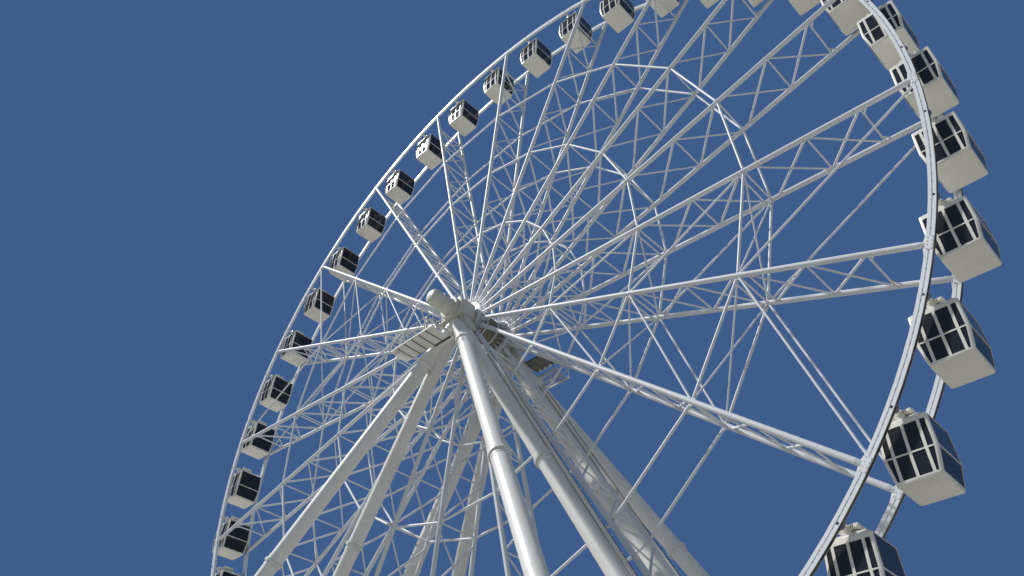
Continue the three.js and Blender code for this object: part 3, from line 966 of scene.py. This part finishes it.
def make_leg(side, hand, kind, joints):
    bm = bmesh.new()
    top, foot = leg_line(side, hand, kind)
    start, end = FLANGE_STEP[kind] + LEG_GAP, (foot - top).length + FOOT_OVERRUN
    add_turned(bm, leg_outline(start, joints, end), leg_place(top, foot), LEG_STEPS, closed=False)
    trimmed = bmesh.ops.bisect_plane(
        bm, geom=bm.verts[:] + bm.edges[:] + bm.faces[:], plane_co=(0, 0, FOOT_TRIM),
        plane_no=(0, 0, 1), clear_inner=True)
    cut = [item for item in trimmed["geom_cut"] if isinstance(item, bmesh.types.BMEdge)]
    bmesh.ops.contextual_create(bm, geom=cut)
    add_foot(bm, foot, Vector(((top - foot).x, (top - foot).y, 0.0)) / (top - foot).z)
    return bm


# %% Flange and anchor bolts
FLANGE_BOLTS, FLANGE_BOLT_CIRCLE, FLANGE_BOLT_SIZE = 20, 0.224, 0.014
ANCHOR_ROW, ANCHOR_SIZE = (-0.45, -0.15, 0.15, 0.45), 0.032


def add_flange_bolts(bm, place, along, out):
    """A circle of bolts at a distance along a leg, pointing down it (out 1) or up it (out -1)."""
    for step in range(FLANGE_BOLTS):
        turn = Matrix.Rotation(step * math.tau / FLANGE_BOLTS, 4, "Z")
        seat = place @ (turn @ Vector((FLANGE_BOLT_CIRCLE, 0, along)))
        add_bolt(bm, seat, place.to_3x3() @ Vector((0, 0, out)), FLANGE_BOLT_SIZE)


def add_anchor_bolts(bm, foot):
    """Bolts along the four edges of a foot plate."""
    edge = max(ANCHOR_ROW)
    for x in ANCHOR_ROW:
        for y in ANCHOR_ROW:
            if max(abs(x), abs(y)) == edge:
                add_bolt(bm, foot + Vector((x, y, PLATE_THICKNESS)), (0, 0, 1), ANCHOR_SIZE)


leg_bolts = bmesh.new()
for side in SIDES:
    for hand in HANDS:
        for kind in FOOT:
            top, foot = leg_line(side, hand, kind)
            joints = [share * (foot - top).length + JOINT_SHIFT for share in LEG_JOINTS[kind]]
            name = f"{side}_{hand}_{kind}_leg"
            finish_piece(make_leg(side, hand, kind, joints), f"{name}_tube", support_white,
                         "support", [name])
            for joint in joints:
                for out in (-1, 1):
                    add_flange_bolts(leg_bolts, leg_place(top, foot),
                                     joint + out * FLANGE_THICKNESS, out)
            add_anchor_bolts(leg_bolts, foot)
finish_piece(leg_bolts, "leg_bolts", galvanised, "support")

# %% [markdown]
# ## Cables along the inner legs
#
# Power and control cables climb each inner leg on its upper side: two thin black cables with two
# pale conduits between them, on a pale cable tray with small rungs. A curve with a bevel could draw
# them, but the runs are straight, so the cone operator makes each in one step.

# %% Cable runs
CABLE_START, CABLE_END = 2.35, 17.6
BLACK_CABLES, PALE_CONDUITS = (0.222, 0.328), (0.262, 0.292)
CABLE_RADIUS = 0.009
TRAY_NEAR, TRAY_FAR, TRAY_HALF = 0.19, 0.335, 0.004
TRAY_RUNG_FAR, TRAY_RUNG_RADIUS = 0.355, 0.008
TRAY_RUNG_START, TRAY_RUNG_STEP = 0.2, 0.48

cables, conduits = bmesh.new(), bmesh.new()
for side in SIDES:
    for hand in HANDS:
        top, foot = leg_line(side, hand, "inner")
        along = (foot - top).normalized()
        upward = Vector((-along.z * HANDS[hand], 0.0, along.x * HANDS[hand]))
        low, high = top + along * CABLE_START, top + along * CABLE_END
        for part, offsets in ((cables, BLACK_CABLES), (conduits, PALE_CONDUITS)):
            for offset in offsets:
                add_tube(part, low + upward * offset, high + upward * offset, CABLE_RADIUS,
                         THIN_SIDES)
        lift = Vector((0.0, TRAY_HALF, 0.0))
        add_plate(conduits, [low + upward * TRAY_NEAR - lift, high + upward * TRAY_NEAR - lift,
                             high + upward * TRAY_FAR - lift, low + upward * TRAY_FAR - lift],
                  2 * lift)
        for step in range(int((CABLE_END - CABLE_START) / TRAY_RUNG_STEP)):
            spot = low + along * (TRAY_RUNG_START + step * TRAY_RUNG_STEP)
            add_tube(conduits, spot + upward * TRAY_NEAR, spot + upward * TRAY_RUNG_FAR,
                     TRAY_RUNG_RADIUS, 6)
finish_piece(cables, "leg_cables", dark_fittings_and_shade, "support")
finish_piece(conduits, "leg_conduits", support_white, "support")

# %% [markdown]
# ## Heads
#
# Where four legs meet stands the head: a welded block with chamfered shoulders that carries the
# axle's bearing, a thick web below it, and a stub for each leg, with a bolted collar on the outer
# ones. Block and web are outlines mirrored left to right, extruded along the axle and bevelled,
# which keeps them exact. Ribs stand on the web, and hatches close the block from below.

# %% Leg stubs
LEG_FIT = 0.002
COLLAR_STEP = 1.655
COLLAR_HALF, COLLAR_CUFF_RISE = 0.045, 0.014
COLLAR_GROOVE = 0.02


def stub_outline(kind):
    """A stub's radius against its distance from the head, with a collar on the outer legs."""
    end = FLANGE_STEP[kind] - LEG_FIT
    outline = [(0.0, 0.0), (LEG_RADIUS, 0.0)]
    if kind == "outer":
        cuff, groove = LEG_RADIUS + COLLAR_CUFF_RISE, FLANGE_RADIUS - COLLAR_GROOVE
        outline += [(LEG_RADIUS, COLLAR_STEP - 0.24), (cuff, COLLAR_STEP - 0.23),
                    (cuff, COLLAR_STEP - 0.05), (FLANGE_RADIUS, COLLAR_STEP - COLLAR_HALF),
                    (FLANGE_RADIUS, COLLAR_STEP - 0.004), (groove, COLLAR_STEP - 0.003),
                    (groove, COLLAR_STEP + 0.003), (FLANGE_RADIUS, COLLAR_STEP + 0.004),
                    (FLANGE_RADIUS, COLLAR_STEP + COLLAR_HALF), (LEG_RADIUS, COLLAR_STEP + 0.05)]
    return outline + [(LEG_RADIUS, end), (0.0, end)]


def make_stubs(side):
    bm = bmesh.new()
    for hand in HANDS:
        for kind in FOOT:
            top, foot = leg_line(side, hand, kind)
            add_turned(bm, stub_outline(kind), leg_place(top, foot), LEG_STEPS, closed=False)
    return bm


# %% Head blocks
HEAD_NEAR, HEAD_FAR = 0.7605, 1.33
HEAD_BLOCK = ((0.33, 0.33), (0.43, 0.18), (0.43, -0.32))
HEAD_WEB = ((0.42, -0.30), (0.70, -0.90))
WEB_HALF = 0.15
UNDERSIDE_HALF, UNDERSIDE_Y, UNDERSIDE_Z = 0.46, (0.78, 1.345), (-0.345, -0.315)
HATCHES, HATCH_Y, HATCH_Z = ((0.08, 0.24), (0.26, 0.42)), (0.82, 1.30), (-0.357, -0.343)
BEARING_INNER, BEARING_OUTER = 0.22, 0.33
BEARING_SUNK, BEARING_PROUD = 0.01, 0.035
WEB_RIBS, WEB_RIB_SPLAY, WEB_RIB_HALF = (-0.36, -0.12, 0.12, 0.36), 1.4, 0.009
WEB_RIB_TOP, WEB_RIB_LOW = -0.34, -0.86
WEB_RIB_TOP_DEPTH, WEB_RIB_LOW_DEPTH, WEB_RIB_SUNK = 0.14, 0.03, 0.01


def add_mirrored_plate(bm, outline, near, far, rounded):
    """Extrudes an outline of (x, z) pairs and its mirror image from y = near to y = far."""
    work = bmesh.new()
    right = [HUB + Vector((x, near, z)) for x, z in outline]
    left = [HUB + Vector((-x, near, z)) for x, z in reversed(outline)]
    add_plate(work, right + left, (0, far - near, 0))
    bmesh.ops.bevel(work, geom=work.edges[:], offset=rounded, affect="EDGES", segments=2, profile=0.5,
                    material=-1)
    add_copy(bm, work, Matrix())
    work.free()


def add_head_block(bm, x_ends, y_ends, z_ends, rounded):
    """A block given by its ends about the hub, in any order."""
    ends = [sorted(pair) for pair in (x_ends, y_ends, z_ends)]
    add_block(bm, HUB + Vector([pair[0] for pair in ends]), HUB + Vector([pair[1] for pair in ends]),
              rounded)


def add_web_ribs(bm, out):
    face_y = out * (LEG_PLANE_Y + WEB_HALF - WEB_RIB_SUNK)
    half = Vector((WEB_RIB_HALF, 0, 0))
    for x in WEB_RIBS:
        top = HUB + Vector((x, face_y, WEB_RIB_TOP)) - half
        low = HUB + Vector((x * WEB_RIB_SPLAY, face_y, WEB_RIB_LOW)) - half
        add_plate(bm, [low, top, top + Vector((0, out * WEB_RIB_TOP_DEPTH, 0)),
                       low + Vector((0, out * WEB_RIB_LOW_DEPTH, 0))], half * 2)


def make_head(side):
    bm = bmesh.new()
    out = SIDES[side]
    add_mirrored_plate(bm, HEAD_BLOCK, out * HEAD_NEAR, out * HEAD_FAR, 0.02)
    add_mirrored_plate(bm, HEAD_WEB, out * (LEG_PLANE_Y - WEB_HALF), out * (LEG_PLANE_Y + WEB_HALF),
                       0.015)
    add_head_block(bm, (-UNDERSIDE_HALF, UNDERSIDE_HALF), [out * y for y in UNDERSIDE_Y],
                   UNDERSIDE_Z, 0.006)
    for hand in HANDS.values():
        for hatch in HATCHES:
            add_head_block(bm, [hand * x for x in hatch], [out * y for y in HATCH_Y], HATCH_Z, 0.004)
    near, far = sorted((out * (HEAD_FAR - BEARING_SUNK), out * (HEAD_FAR + BEARING_PROUD)))
    ring = [(BEARING_INNER, near), (BEARING_OUTER, near), (BEARING_OUTER, far), (BEARING_INNER, far)]
    add_turned(bm, ring, AXLE_PLACE, TURNED_STEPS, rounded=0.006)
    add_web_ribs(bm, out)
    return bm


for side in SIDES:
    finish_piece(make_head(side), f"{side}_head_block", beige_with_painted_shade, "support",
                 [f"{side}_head"])
    finish_piece(make_stubs(side), f"{side}_leg_stubs", support_white, "support")

# %% Head bolts
BEARING_BOLTS, BEARING_BOLT_CIRCLE, BEARING_BOLT_SIZE = 24, 0.29, 0.016

head_bolts = bmesh.new()
for side, out in SIDES.items():
    for step in range(BEARING_BOLTS):
        angle = step * math.tau / BEARING_BOLTS
        seat = HUB + Vector((BEARING_BOLT_CIRCLE * math.cos(angle), out * (HEAD_FAR + BEARING_PROUD),
                             BEARING_BOLT_CIRCLE * math.sin(angle)))
        add_bolt(head_bolts, seat, (0, out, 0), BEARING_BOLT_SIZE)
    for hand in HANDS:
        add_flange_bolts(head_bolts, leg_place(*leg_line(side, hand, "outer")),
                         COLLAR_STEP - COLLAR_HALF, -1)
finish_piece(head_bolts, "head_bolts", galvanised, "support")

# %% [markdown]
# ## Slip ring housing
#
# Power and signals reach the turning wheel through a slip ring on the front end of the axle. Its
# housing is a long turned drum with a domed end, so one spun outline is all that it needs.

# %% Slip ring
SLIP_OUTLINE = [(0.0, -1.3303), (0.36, -1.3303), (0.36, -1.435), (0.345, -1.45), (0.27, -1.455),
                (0.258, -1.47), (0.258, -1.78), (0.272, -1.785), (0.272, -1.815), (0.258, -1.82),
                (0.258, -2.03), (0.247, -2.09), (0.215, -2.14), (0.16, -2.175), (0.0, -2.19)]

bm = bmesh.new()
add_turned(bm, SLIP_OUTLINE, AXLE_PLACE, TURNED_STEPS, closed=False)
finish_piece(bm, "slip_ring_cover", beige_with_painted_shade, "support", ["slip_ring_housing"])

# %% [markdown]
# ## Service platforms
#
# Before each head hangs a small platform for the fitters. The front one is closed below by pale
# panels with dark ribs between them and carries a small junction box, the back one has a grating
# and a tray above it, whose dark grey paints the shade on its underside. A bump pattern could fake
# the grating, but from below the sky shows through it, so its bars are real.

# %% Platform frame
DECK_X = (-0.35, 1.50)
DECK_Y = (1.58, 2.22)
DECK_LOW, DECK_HIGH = -1.36, -1.30
FRAME_BAR = 0.025
ARM_HALF, ARM_LOW, ARM_HIGH = 0.035, -0.89, -0.83
WEB_FACE = LEG_PLANE_Y + WEB_HALF + 0.0003
DECK_POSTS, POST_SUNK = ((1.76, 1.84), (2.12, 2.20)), 0.01
RAIL_HEIGHT, RAIL_RADIUS = 0.46, 0.011
RAIL_POSTS, RAIL_INSET = 6, 0.02
RAIL_Y = DECK_Y[1] - 0.013


def platform_turn(side):
    """The back platform is the front one turned half round the hub's upright."""
    return Matrix.Translation(HUB) @ Matrix.Rotation(math.pi if side == "front" else 0.0, 4, "Z")


def make_platform_frame():
    bm = bmesh.new()
    for y in (DECK_Y[0], DECK_Y[1] - FRAME_BAR):
        add_block(bm, (DECK_X[0], y, DECK_LOW), (DECK_X[1], y + FRAME_BAR, DECK_HIGH), 0.004)
    add_block(bm, (-ARM_HALF, WEB_FACE, ARM_LOW), (ARM_HALF, DECK_Y[1], ARM_HIGH), 0.006)
    for near, far in DECK_POSTS:
        add_block(bm, (-ARM_HALF, near, DECK_LOW), (ARM_HALF, far, ARM_HIGH - POST_SUNK), 0.006)
    left, right = DECK_X[0] + RAIL_INSET, DECK_X[1] - RAIL_INSET
    for step in range(RAIL_POSTS):
        x = left + step * (right - left) / (RAIL_POSTS - 1)
        add_tube(bm, (x, RAIL_Y, DECK_LOW + RAIL_INSET), (x, RAIL_Y, DECK_HIGH + RAIL_HEIGHT),
                 RAIL_RADIUS, THIN_SIDES)
    for share in (0.5, 1.0):
        z = DECK_HIGH + share * RAIL_HEIGHT
        add_tube(bm, (left, RAIL_Y, z), (right, RAIL_Y, z), RAIL_RADIUS, THIN_SIDES)
        for x in (left, right):
            add_tube(bm, (x, DECK_Y[0] + RAIL_INSET, z), (x, RAIL_Y, z), RAIL_RADIUS, THIN_SIDES)
    return bm


# %% Floor panels and ribs of the front platform
DECK_PANELS, PANEL_GAP, PANEL_INSET = 6, 0.018, 0.03
PANEL_Z = (DECK_LOW - 0.004, DECK_LOW + 0.01)
DECK_RIB_HALF, DECK_RIB_INSET = 0.014, 0.02
DECK_RIB_Z = (DECK_LOW - 0.014, DECK_HIGH - 0.01)
BOX = ((1.18, 1.83, -1.47), (1.43, 2.11, -1.355))
INNER_BEAM = ((-0.36, 1.42, DECK_LOW - 0.02), (0.30, 1.52, DECK_LOW + 0.05))
# The near black strip in the gap between the inner beam and the deck paints the shade there.
BEAM_GAP_SHADE = ((-0.36, 1.52, DECK_LOW - 0.01), (0.30, 1.585, DECK_LOW + 0.02))


def deck_runs(count):
    """The starts and the length of equal lengths of the deck along X."""
    run = (DECK_X[1] - DECK_X[0]) / count
    return [DECK_X[0] + step * run for step in range(count)], run


def make_floor_panels():
    bm = bmesh.new()
    starts, run = deck_runs(DECK_PANELS)
    for x in starts:
        add_block(bm, (x + PANEL_GAP, DECK_Y[0] + PANEL_INSET, PANEL_Z[0]),
                  (x + run - PANEL_GAP, DECK_Y[1] - PANEL_INSET, PANEL_Z[1]), 0.003)
    add_block(bm, *BOX, rounded=0.015)
    add_block(bm, *INNER_BEAM, rounded=0.008)
    return bm


def make_deck_ribs_and_gap_shade():
    bm = bmesh.new()
    for x in deck_runs(DECK_PANELS)[0][1:]:
        add_block(bm, (x - DECK_RIB_HALF, DECK_Y[0] + DECK_RIB_INSET, DECK_RIB_Z[0]),
                  (x + DECK_RIB_HALF, DECK_Y[1] - DECK_RIB_INSET, DECK_RIB_Z[1]), 0.003)
    add_block(bm, *BEAM_GAP_SHADE, rounded=0.003)
    return bm


# %% Tray and grating of the back platform
TRAY_X, TRAY_Y = (0.56, 1.30), (1.23, 1.80)
TRAY_FLOOR, TRAY_RIM = (-0.90, -0.875), (-0.925, -0.86)
TRAY_BARS_X, TRAY_BARS_Y, TRAY_BAR = (0.56, 0.79, 1.03, 1.275), (1.23, 1.775), 0.025
TRAY_BEAM = ((-ARM_HALF, 1.60, ARM_LOW), (0.57, 1.66, ARM_HIGH - 0.005))
TRAY_FITTINGS_X, TRAY_FITTING_HALF = (0.74, 0.94, 1.14), 0.045
TRAY_FITTING_Y, TRAY_FITTING_Z = (1.71, 1.79), (-1.0, -0.92)
STRUT = ((1.28, 1.77, -0.91), (1.28, DECK_Y[1] - 0.03, DECK_LOW + 0.02))
STRUT_RADIUS = 0.014
GRATING_BARS, GRATING_LOW, GRATING_INSET, BAR_INSET = 26, DECK_HIGH - 0.024, 0.03, 0.02
GRATING_BAR, GRATING_DEPTH = 0.007, 0.022
CROSS_BARS, CROSS_START, CROSS_STEP, CROSS_Z = 5, 0.06, 0.12, (0.004, 0.018)


def make_back_tray():
    bm = bmesh.new()
    add_block(bm, (TRAY_X[0], TRAY_Y[0], TRAY_FLOOR[0]), (TRAY_X[1], TRAY_Y[1], TRAY_FLOOR[1]), 0.004)
    for x in TRAY_BARS_X:
        add_block(bm, (x, TRAY_Y[0], TRAY_RIM[0]), (x + TRAY_BAR, TRAY_Y[1], TRAY_RIM[1]), 0.003)
    for y in TRAY_BARS_Y:
        add_block(bm, (TRAY_X[0], y, TRAY_RIM[0]), (TRAY_X[1], y + TRAY_BAR, TRAY_RIM[1]), 0.003)
    return bm


def make_tray_fittings():
    bm = bmesh.new()
    add_block(bm, *TRAY_BEAM, rounded=0.005)
    for x in TRAY_FITTINGS_X:
        add_block(bm, (x - TRAY_FITTING_HALF, TRAY_FITTING_Y[0], TRAY_FITTING_Z[0]),
                  (x + TRAY_FITTING_HALF, TRAY_FITTING_Y[1], TRAY_FITTING_Z[1]), 0.012)
    add_tube(bm, *STRUT, STRUT_RADIUS, THIN_SIDES)
    return bm


def make_grating():
    bm = bmesh.new()
    length = DECK_X[1] - DECK_X[0] - 2 * GRATING_INSET
    for step in range(GRATING_BARS):
        x = DECK_X[0] + GRATING_INSET + step * length / GRATING_BARS
        add_block(bm, (x, DECK_Y[0] + BAR_INSET, GRATING_LOW),
                  (x + GRATING_BAR, DECK_Y[1] - BAR_INSET, GRATING_LOW + GRATING_DEPTH))
    for step in range(CROSS_BARS):
        y = DECK_Y[0] + CROSS_START + step * CROSS_STEP
        add_block(bm, (DECK_X[0] + BAR_INSET, y, GRATING_LOW + CROSS_Z[0]),
                  (DECK_X[1] - BAR_INSET, y + GRATING_BAR, GRATING_LOW + CROSS_Z[1]))
    return bm


# %% Hang both platforms
platform_frame = make_platform_frame()
for side in SIDES:
    bm = bmesh.new()
    add_copy(bm, platform_frame, platform_turn(side))
    finish_piece(bm, f"{side}_platform_frame", beige_with_painted_shade, "support",
                 [f"{side}_platform"])
for side, name, part, finish in (
        ("front", "floor_panels", make_floor_panels(), support_white),
        ("front", "deck_ribs_and_gap_shade", make_deck_ribs_and_gap_shade(), dark_fittings_and_shade),
        ("back", "grating", make_grating(), galvanised),
        ("back", "tray", make_back_tray(), lamp_grey_and_tray_shade),
        ("back", "tray_fittings", make_tray_fittings(), support_white)):
    bm = bmesh.new()
    add_copy(bm, part, platform_turn(side))
    finish_piece(bm, f"{side}_platform_{name}", finish, "support")

# %% [markdown]
# ## The cabin shell
#
# A cabin is a moulded box, widest at its waist, with softly rounded corners and two rows of panes.
# A bevelled cube would have straight sides, so it is lofted instead: one face with rounded corners
# is extruded from level to level and scaled each time, first along the round lip of the floor pan.
# Bisect planes cut the sides where the window bars stand, and an inset sinks each pane behind its
# frame. The end walls are glass nearly from corner to corner, with only a thin line at the waist.

# %% Cabin levels and window bars
CABIN_LEVELS = ((-1.25, 0.335, 0.405), (-1.241, 0.360, 0.430), (-1.215, 0.3755, 0.4445),
                (-0.775, 0.447, 0.478), (-0.25, 0.430, 0.459), (-0.175, 0.425, 0.455),
                (-0.135, 0.385, 0.415))
FACE_SILL, END_SILL, EAVE, FASCIA = -1.19, -1.205, -0.25, -0.175
FACE_BARS = (-0.262, 0.0, 0.262)
BAR_HALF = 0.012
CORNER_ROUND = 0.035
FACE_TRIM, END_TRIM, PANE_BEVEL, PANE_DEPTH = 0.013, 0.015, 0.003, 0.012
STEEP = 0.97
SAME_LEVEL = 1e-4
PANE = 1


def loft_rectangles(bm, levels):
    """Extrudes and scales a face with rounded corners through (height, half x, half y) levels."""
    height, x, y = levels[0]
    place = Matrix.Translation((0, 0, height)) @ Matrix.Diagonal((x, y, 1.0, 1.0))
    verts = bmesh.ops.create_grid(bm, x_segments=1, y_segments=1, size=1.0, matrix=place)["verts"]
    bmesh.ops.bevel(bm, geom=verts, offset=CORNER_ROUND, affect="VERTICES", segments=2, profile=0.5,
                    material=-1)
    face = bm.faces[:][0]
    for below, above in zip(levels, levels[1:]):
        grown = bmesh.ops.extrude_face_region(bm, geom=[face])["geom"]
        # A face extruded alone stays behind. The first one is the floor, the others would be
        # walls across the inside.
        if below is not levels[0]:
            bmesh.ops.delete(bm, geom=[face], context="FACES_ONLY")
        verts = [item for item in grown if isinstance(item, bmesh.types.BMVert)]
        face = next(item for item in grown if isinstance(item, bmesh.types.BMFace))
        bmesh.ops.scale(bm, vec=(above[1] / below[1], above[2] / below[2], 1.0), verts=verts)
        bmesh.ops.translate(bm, vec=(0, 0, above[0] - below[0]), verts=verts)


def cut_sides(bm, chosen, spot, normal):
    faces = [face for face in bm.faces if chosen(face)]
    edges = list({edge for face in faces for edge in face.edges})
    verts = list({vert for face in faces for vert in face.verts})
    bmesh.ops.bisect_plane(bm, geom=verts + edges + faces, plane_co=spot, plane_no=normal,
                           dist=WELD_DISTANCE)
    bm.normal_update()


def is_front(face):
    """Whether a face belongs to the front or the back wall."""
    return abs(face.normal.y) > STEEP


def is_end(face):
    return abs(face.normal.x) > STEEP


def between_levels(face, low, high):
    return low < face.calc_center_median().z < high


def in_window_row(face):
    return is_front(face) and between_levels(face, FACE_SILL, EAVE)


# %% Cabin body with its panes sunk in
def join_end_faces(bm):
    """Takes out the eave's edge on the end walls, so that one pane reaches the roof."""
    edges = [edge for edge in bm.edges if len(edge.link_faces) == 2
             and all(is_end(face) for face in edge.link_faces)
             and all(abs(vert.co.z - EAVE) < SAME_LEVEL for vert in edge.verts)]
    print("eave edges taken out", len(edges))
    bmesh.ops.dissolve_edges(bm, edges=edges, use_verts=False)
    bm.normal_update()


def make_cabin_body():
    bm = bmesh.new()
    loft_rectangles(bm, CABIN_LEVELS)
    bmesh.ops.recalc_face_normals(bm, faces=bm.faces[:])
    bm.normal_update()
    cut_sides(bm, is_front, (0, 0, FACE_SILL), (0, 0, 1))
    cut_sides(bm, is_end, (0, 0, END_SILL), (0, 0, 1))
    for bar in FACE_BARS:
        for edge in (bar - BAR_HALF, bar + BAR_HALF):
            cut_sides(bm, in_window_row, (edge, 0, 0), (1, 0, 0))
    join_end_faces(bm)
    front_panes = [face for face in bm.faces if in_window_row(face)
                   and all(abs(face.calc_center_median().x - bar) > BAR_HALF for bar in FACE_BARS)]
    end_panes = [face for face in bm.faces if is_end(face) and between_levels(face, END_SILL, FASCIA)]
    for panes, trim in ((front_panes, FACE_TRIM), (end_panes, END_TRIM)):
        bmesh.ops.inset_individual(bm, faces=panes, thickness=trim, depth=0.0, use_even_offset=True)
        bmesh.ops.inset_individual(bm, faces=panes, thickness=PANE_BEVEL, depth=-PANE_DEPTH,
                                   use_even_offset=True)
        for face in panes:
            face.material_index = PANE
    print("panes", len(front_panes), "and", len(end_panes))
    return bm


cabin_body = make_cabin_body()
print("cabin body faces", len(cabin_body.faces))

# %% Shell with its roof box, and glass
ROOF_BOX = ((-0.30, -0.32, -0.15), (0.30, 0.32, -0.06))
GLASS_THICKNESS = 0.006


def keep_faces(source, keep):
    """A copy of a bmesh with only the faces that keep says yes to."""
    part = source.copy()
    bmesh.ops.delete(part, geom=[face for face in part.faces if not keep(face)], context="FACES")
    return part


def make_cabin_shell():
    bm = keep_faces(cabin_body, lambda face: face.material_index != PANE)
    add_block(bm, *ROOF_BOX, rounded=0.02)
    return bm


def make_cabin_glass():
    bm = keep_faces(cabin_body, lambda face: face.material_index == PANE)
    for face in bm.faces:
        face.material_index = 0
    bmesh.ops.solidify(bm, geom=bm.faces[:], thickness=GLASS_THICKNESS)
    return bm


cabin_shell, cabin_glass = make_cabin_shell(), make_cabin_glass()
print("shell faces", len(cabin_shell.faces), "glass faces", len(cabin_glass.faces))

# %% [markdown]
# ## Air conditioner, hangers and shafts
#
# On the roof sits a slim air conditioner with dark intake slots. At the front and at the back a
# tapered hanger carries the cabin on its stub shaft. The shafts stop in bearings on the rims.

# %% Cabin fittings
RIM_INNER_Y = RIM_Y - RIM_WIDTH / 2
HANGER_Y = (0.34, 0.385)
HANGER = ((-0.085, -0.15), (0.085, -0.15), (0.078, -0.07), (0.062, 0.03), (0.04, 0.058),
          (-0.04, 0.058), (-0.062, 0.03), (-0.078, -0.07))
SHAFT_RADIUS, COLLAR_RADIUS = 0.045, 0.06
SHAFT_OUTLINE = ((0.0, 0.32), (COLLAR_RADIUS, 0.32), (COLLAR_RADIUS, 0.41), (SHAFT_RADIUS, 0.415),
                 (SHAFT_RADIUS, RIM_INNER_Y - 0.001), (0.0, RIM_INNER_Y - 0.001))
COOLER_FOOT = ((-0.14, -0.26, -0.07), (0.14, 0.04, -0.015))
COOLER = ((-0.20, -0.30, 0.0), (0.20, 0.08, 0.095))
COOLER_GAP = ((-0.13, -0.25, -0.02), (0.13, 0.03, 0.005))
SLOTS, SLOT_START, SLOT_STEP, SLOT_WIDTH = 7, -0.11, 0.032, 0.018
SLOT_Y, SLOT_Z = (-0.303, -0.29), (0.03, 0.08)


def shaft_turn(side):
    """Lays local Z along the cabin's shaft, towards the front (side -1) or the back (side 1)."""
    return Matrix.Rotation(-side * math.pi / 2, 4, "X")


def make_cabin_fittings():
    bm = bmesh.new()
    add_block(bm, *COOLER_FOOT, rounded=0.008)
    add_block(bm, *COOLER, rounded=0.025)
    for side in (-1, 1):
        corners = [(x, side * HANGER_Y[0], z) for x, z in HANGER]
        add_plate(bm, corners, (0, side * (HANGER_Y[1] - HANGER_Y[0]), 0))
        add_turned(bm, SHAFT_OUTLINE, shaft_turn(side), 20, closed=False)
    return bm


def make_cabin_slots():
    bm = bmesh.new()
    add_block(bm, *COOLER_GAP)
    for step in range(SLOTS):
        x = SLOT_START + step * SLOT_STEP
        add_block(bm, (x, SLOT_Y[0], SLOT_Z[0]), (x + SLOT_WIDTH, SLOT_Y[1], SLOT_Z[1]))
    return bm


cabin_fittings, cabin_slots = make_cabin_fittings(), make_cabin_slots()
print("fittings faces", len(cabin_fittings.faces), "slot faces", len(cabin_slots.faces))

# %% [markdown]
# ## Forty cabins
#
# Each cabin hangs from its own pivot, a quarter of a bay to one side of a spoke. The four parts of
# the master cabin are copied to each pivot, and each copy rides on that cabin's own body, so it
# stays level when the wheel turns.

# %% Hang the cabins
CABINS = 40
PIVOT_RADIUS = RIM_RADIUS + 0.045
FIRST_CABIN = FIRST_SPOKE + BAY / 4
WALL_THICKNESS = 0.02
CABIN_PARTS = (
    ("shell", cabin_shell, cabin_cream, "cabin_shell"),
    ("glass", cabin_glass, tinted_glass, "cabin_glass"),
    ("fittings", cabin_fittings, cabin_cream, "fittings"),
    ("slots", cabin_slots, dark_fittings_and_shade, "fittings"),
)


def cabin_pivot(index):
    angle = FIRST_CABIN + index * math.tau / CABINS
    return HUB + Vector((PIVOT_RADIUS * math.cos(angle), 0.0, PIVOT_RADIUS * math.sin(angle)))


for index in range(CABINS):
    name = f"cabin_{index + 1:02d}"
    place = Matrix.Translation(cabin_pivot(index))
    for part, master, finish, slot in CABIN_PARTS:
        bm = bmesh.new()
        add_copy(bm, master, place)
        piece = finish_piece(bm, f"{name}_{part}", finish, name, [name] if part == "shell" else ())
        if part == "shell":
            wall = piece.modifiers.new("wall", "SOLIDIFY")
            wall.thickness = WALL_THICKNESS

# %% Bearings on the rims and the shafts' ends
RIM_OUTER_Y = RIM_Y + RIM_WIDTH / 2
CABIN_BEARING = ((0.052, RIM_INNER_Y - 0.045), (0.075, RIM_INNER_Y - 0.045),
                 (0.075, RIM_INNER_Y - 0.012),
                 (0.095, RIM_INNER_Y - 0.012), (0.095, RIM_INNER_Y + 0.002),
                 (0.052, RIM_INNER_Y + 0.002))
SHAFT_END = ((0.0, RIM_OUTER_Y - 0.002), (0.026, RIM_OUTER_Y - 0.002), (0.026, RIM_OUTER_Y + 0.006),
             (0.018, RIM_OUTER_Y + 0.010), (0.0, RIM_OUTER_Y + 0.010))

for name, outline, steps, closed, finish in (
        ("cabin_bearings", CABIN_BEARING, 24, True, galvanised),
        ("shaft_ends", SHAFT_END, 16, False, dark_fittings_and_shade)):
    pair = bmesh.new()
    for side in (-1, 1):
        add_turned(pair, outline, shaft_turn(side), steps, closed=closed)
    bm = bmesh.new()
    for index in range(CABINS):
        add_copy(bm, pair, Matrix.Translation(cabin_pivot(index)))
    finish_piece(bm, name, finish, "wheel")

# %% Sizes and finish
print("pieces", len(made_faces), "faces", sum(made_faces.values()))
